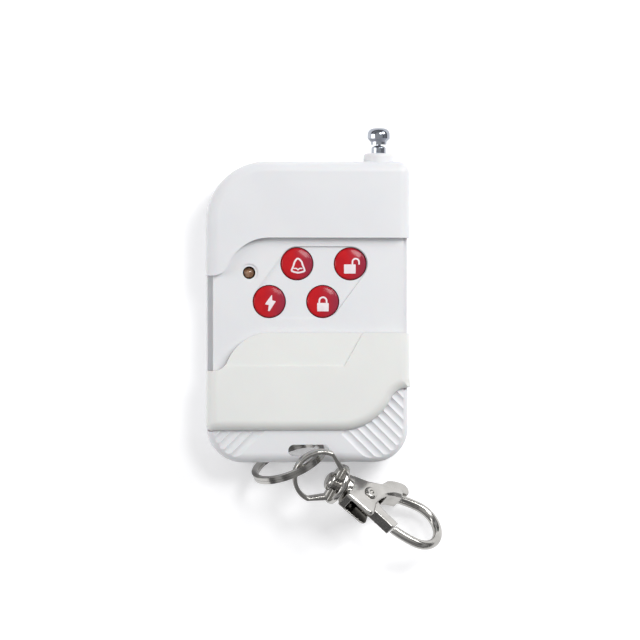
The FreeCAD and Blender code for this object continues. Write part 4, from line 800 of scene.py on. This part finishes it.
def stroke(sheet, points, width, closed=False):
    """A ribbon of even width along a line, with round ends where it is open."""
    line = [Vector(point) for point in points]
    halves = [width / 2] * len(line)
    if not closed:
        line, halves = rounded_ends(line, width)
    rows = []
    for i, point in enumerate(line):
        if closed:
            heading = line[(i + 1) % len(line)] - line[i - 1]
        else:
            heading = line[min(i + 1, len(line) - 1)] - line[max(i - 1, 0)]
        side = Vector((-heading.y, heading.x)).normalized() * halves[i]
        rows.append([sheet.verts.new((*(point + side), 0.0)), sheet.verts.new((*(point - side), 0.0))])
    pairs = range(len(rows)) if closed else range(len(rows) - 1)
    for i in pairs:
        after = rows[(i + 1) % len(rows)]
        sheet.faces.new((rows[i][0], rows[i][1], after[1], after[0]))


# %% [markdown]
# The four signs are a bell, an open padlock, a bolt and a closed padlock. The bell is a closed line with a
# bar across it, and the bolt is a filled outline. A padlock is a filled box with rounded corners, and its
# shackle is a stroke that goes up, round a half circle and down again.

# %% The four signs
BELL = [(0.16, 1.28), (-0.58, 0.49), (-0.89, -0.5), (-1.3, -1.48), (-1.1, -1.85), (0.25, -2.18),
        (1.68, -1.85), (1.85, -1.48), (1.38, -0.31), (1.07, 0.58)]
BELL_BAR = [(-0.76, -1.15), (-0.15, -1.17), (0.24, -1.5), (0.59, -1.17), (1.2, -1.15)]
BELL_WIDTH = 0.43
BAR_WIDTH = 0.3
BOLT = [(0.66, 1.62), (0.5, 1.55), (-0.99, -0.45), (-0.98, -0.7), (-0.16, -0.85), (-0.33, -2.3),
        (0.05, -2.35), (1.58, 0.05), (0.69, 0.3)]
OPEN_SHACKLE = [(0.48, -0.2), (0.48, 0.2)] + arc((1.3, 0.45), 0.82, 180, 0) + [(2.12, -0.02)]
OPEN_WIDTH = 0.4
SHUT_SHACKLE = [(-0.88, -0.5), (-0.88, 0.0)] + arc((0.02, 0.15), 0.9, 180, 0) + [(0.92, -0.5)]
SHUT_WIDTH = 0.42
LOCK_CORNER = 0.15
LOCK_STEPS = 3


def lock_box(left, right, low, high):
    """The body of a padlock, with rounded corners."""
    points = []
    inner_left, inner_right = left + LOCK_CORNER, right - LOCK_CORNER
    inner_low, inner_high = low + LOCK_CORNER, high - LOCK_CORNER
    for x, y, start in ((inner_right, inner_high, 0), (inner_left, inner_high, 90),
                        (inner_left, inner_low, 180), (inner_right, inner_low, 270)):
        points += arc((x, y), LOCK_CORNER, start, start + 90, LOCK_STEPS)
    return points


def draw_sign(name, sheet):
    """Draw one button's sign flat, about the middle of the button."""
    if name == "bell":
        stroke(sheet, curve_through(BELL, closed=True), BELL_WIDTH, closed=True)
        stroke(sheet, curve_through(BELL_BAR, closed=False), BAR_WIDTH)
    if name == "bolt":
        fill(sheet, BOLT)
    if name == "unlock":
        fill(sheet, lock_box(left=-1.6, right=1.28, low=-2.39, high=-0.15))
        stroke(sheet, OPEN_SHACKLE, OPEN_WIDTH)
    if name == "lock":
        fill(sheet, lock_box(left=-1.4, right=1.44, low=-2.4, high=-0.35))
        stroke(sheet, SHUT_SHACKLE, SHUT_WIDTH)


# %% [markdown]
# A flat film can't lie on a ball, but small squares of it can. The grid cuts the film, the film gets its
# thickness, and then each corner drops as far as the dome does at that place. The film's underside sinks a
# little into the dome, so that no light gets in between, and each sign rides on its own button.

# %% Laying the signs on the domes
INK_TOP = 0.03
INK_FILM = 0.05
INK_SQUARE = 0.45
DOME_RADIUS = 16.69
SIGN_REACH = 4.0
CUT_TOLERANCE = 1e-5


def cut_in_squares(sheet, size):
    """Cut the flat film along a square grid, so that it can bend."""
    lines = math.ceil(SIGN_REACH / size)
    for axis in (Vector((1.0, 0.0, 0.0)), Vector((0.0, 1.0, 0.0))):
        for i in range(-lines, lines + 1):
            parts = sheet.verts[:] + sheet.edges[:] + sheet.faces[:]
            bmesh.ops.bisect_plane(sheet, geom=parts, dist=CUT_TOLERANCE, plane_co=axis * (i * size),
                                   plane_no=axis)


def thickened(sheet):
    """Give the flat film its thickness, upwards."""
    for face in sheet.faces:
        if face.normal.z < 0:
            face.normal_flip()
    film = bmesh.ops.extrude_face_region(sheet, geom=sheet.faces[:])["geom"]
    for vert in film:
        if isinstance(vert, bmesh.types.BMVert):
            vert.co.z = INK_FILM


def dome_drop(x, y):
    """How far the dome has fallen at a place, in millimetres."""
    return DOME_RADIUS - math.sqrt(DOME_RADIUS ** 2 - x * x - y * y)


for name, top in dome_top.items():
    sheet = bmesh.new()
    draw_sign(name, sheet)
    cut_in_squares(sheet, INK_SQUARE)
    thickened(sheet)
    for vert in sheet.verts:
        height = vert.co.z + INK_TOP - INK_FILM - dome_drop(vert.co.x, vert.co.y)
        vert.co = top + Vector((vert.co.x, vert.co.y, height)) * MM
    bmesh.ops.recalc_face_normals(sheet, faces=sheet.faces)
    mesh = bpy.data.meshes.new("sign_" + name)
    sheet.to_mesh(mesh)
    sheet.free()
    sign = put_in_scene("sign_" + name, mesh)
    dress(sign, ink)
    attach(sign, "button_" + name)
    print("sign on the", name, "button:", len(mesh.polygons), "faces")
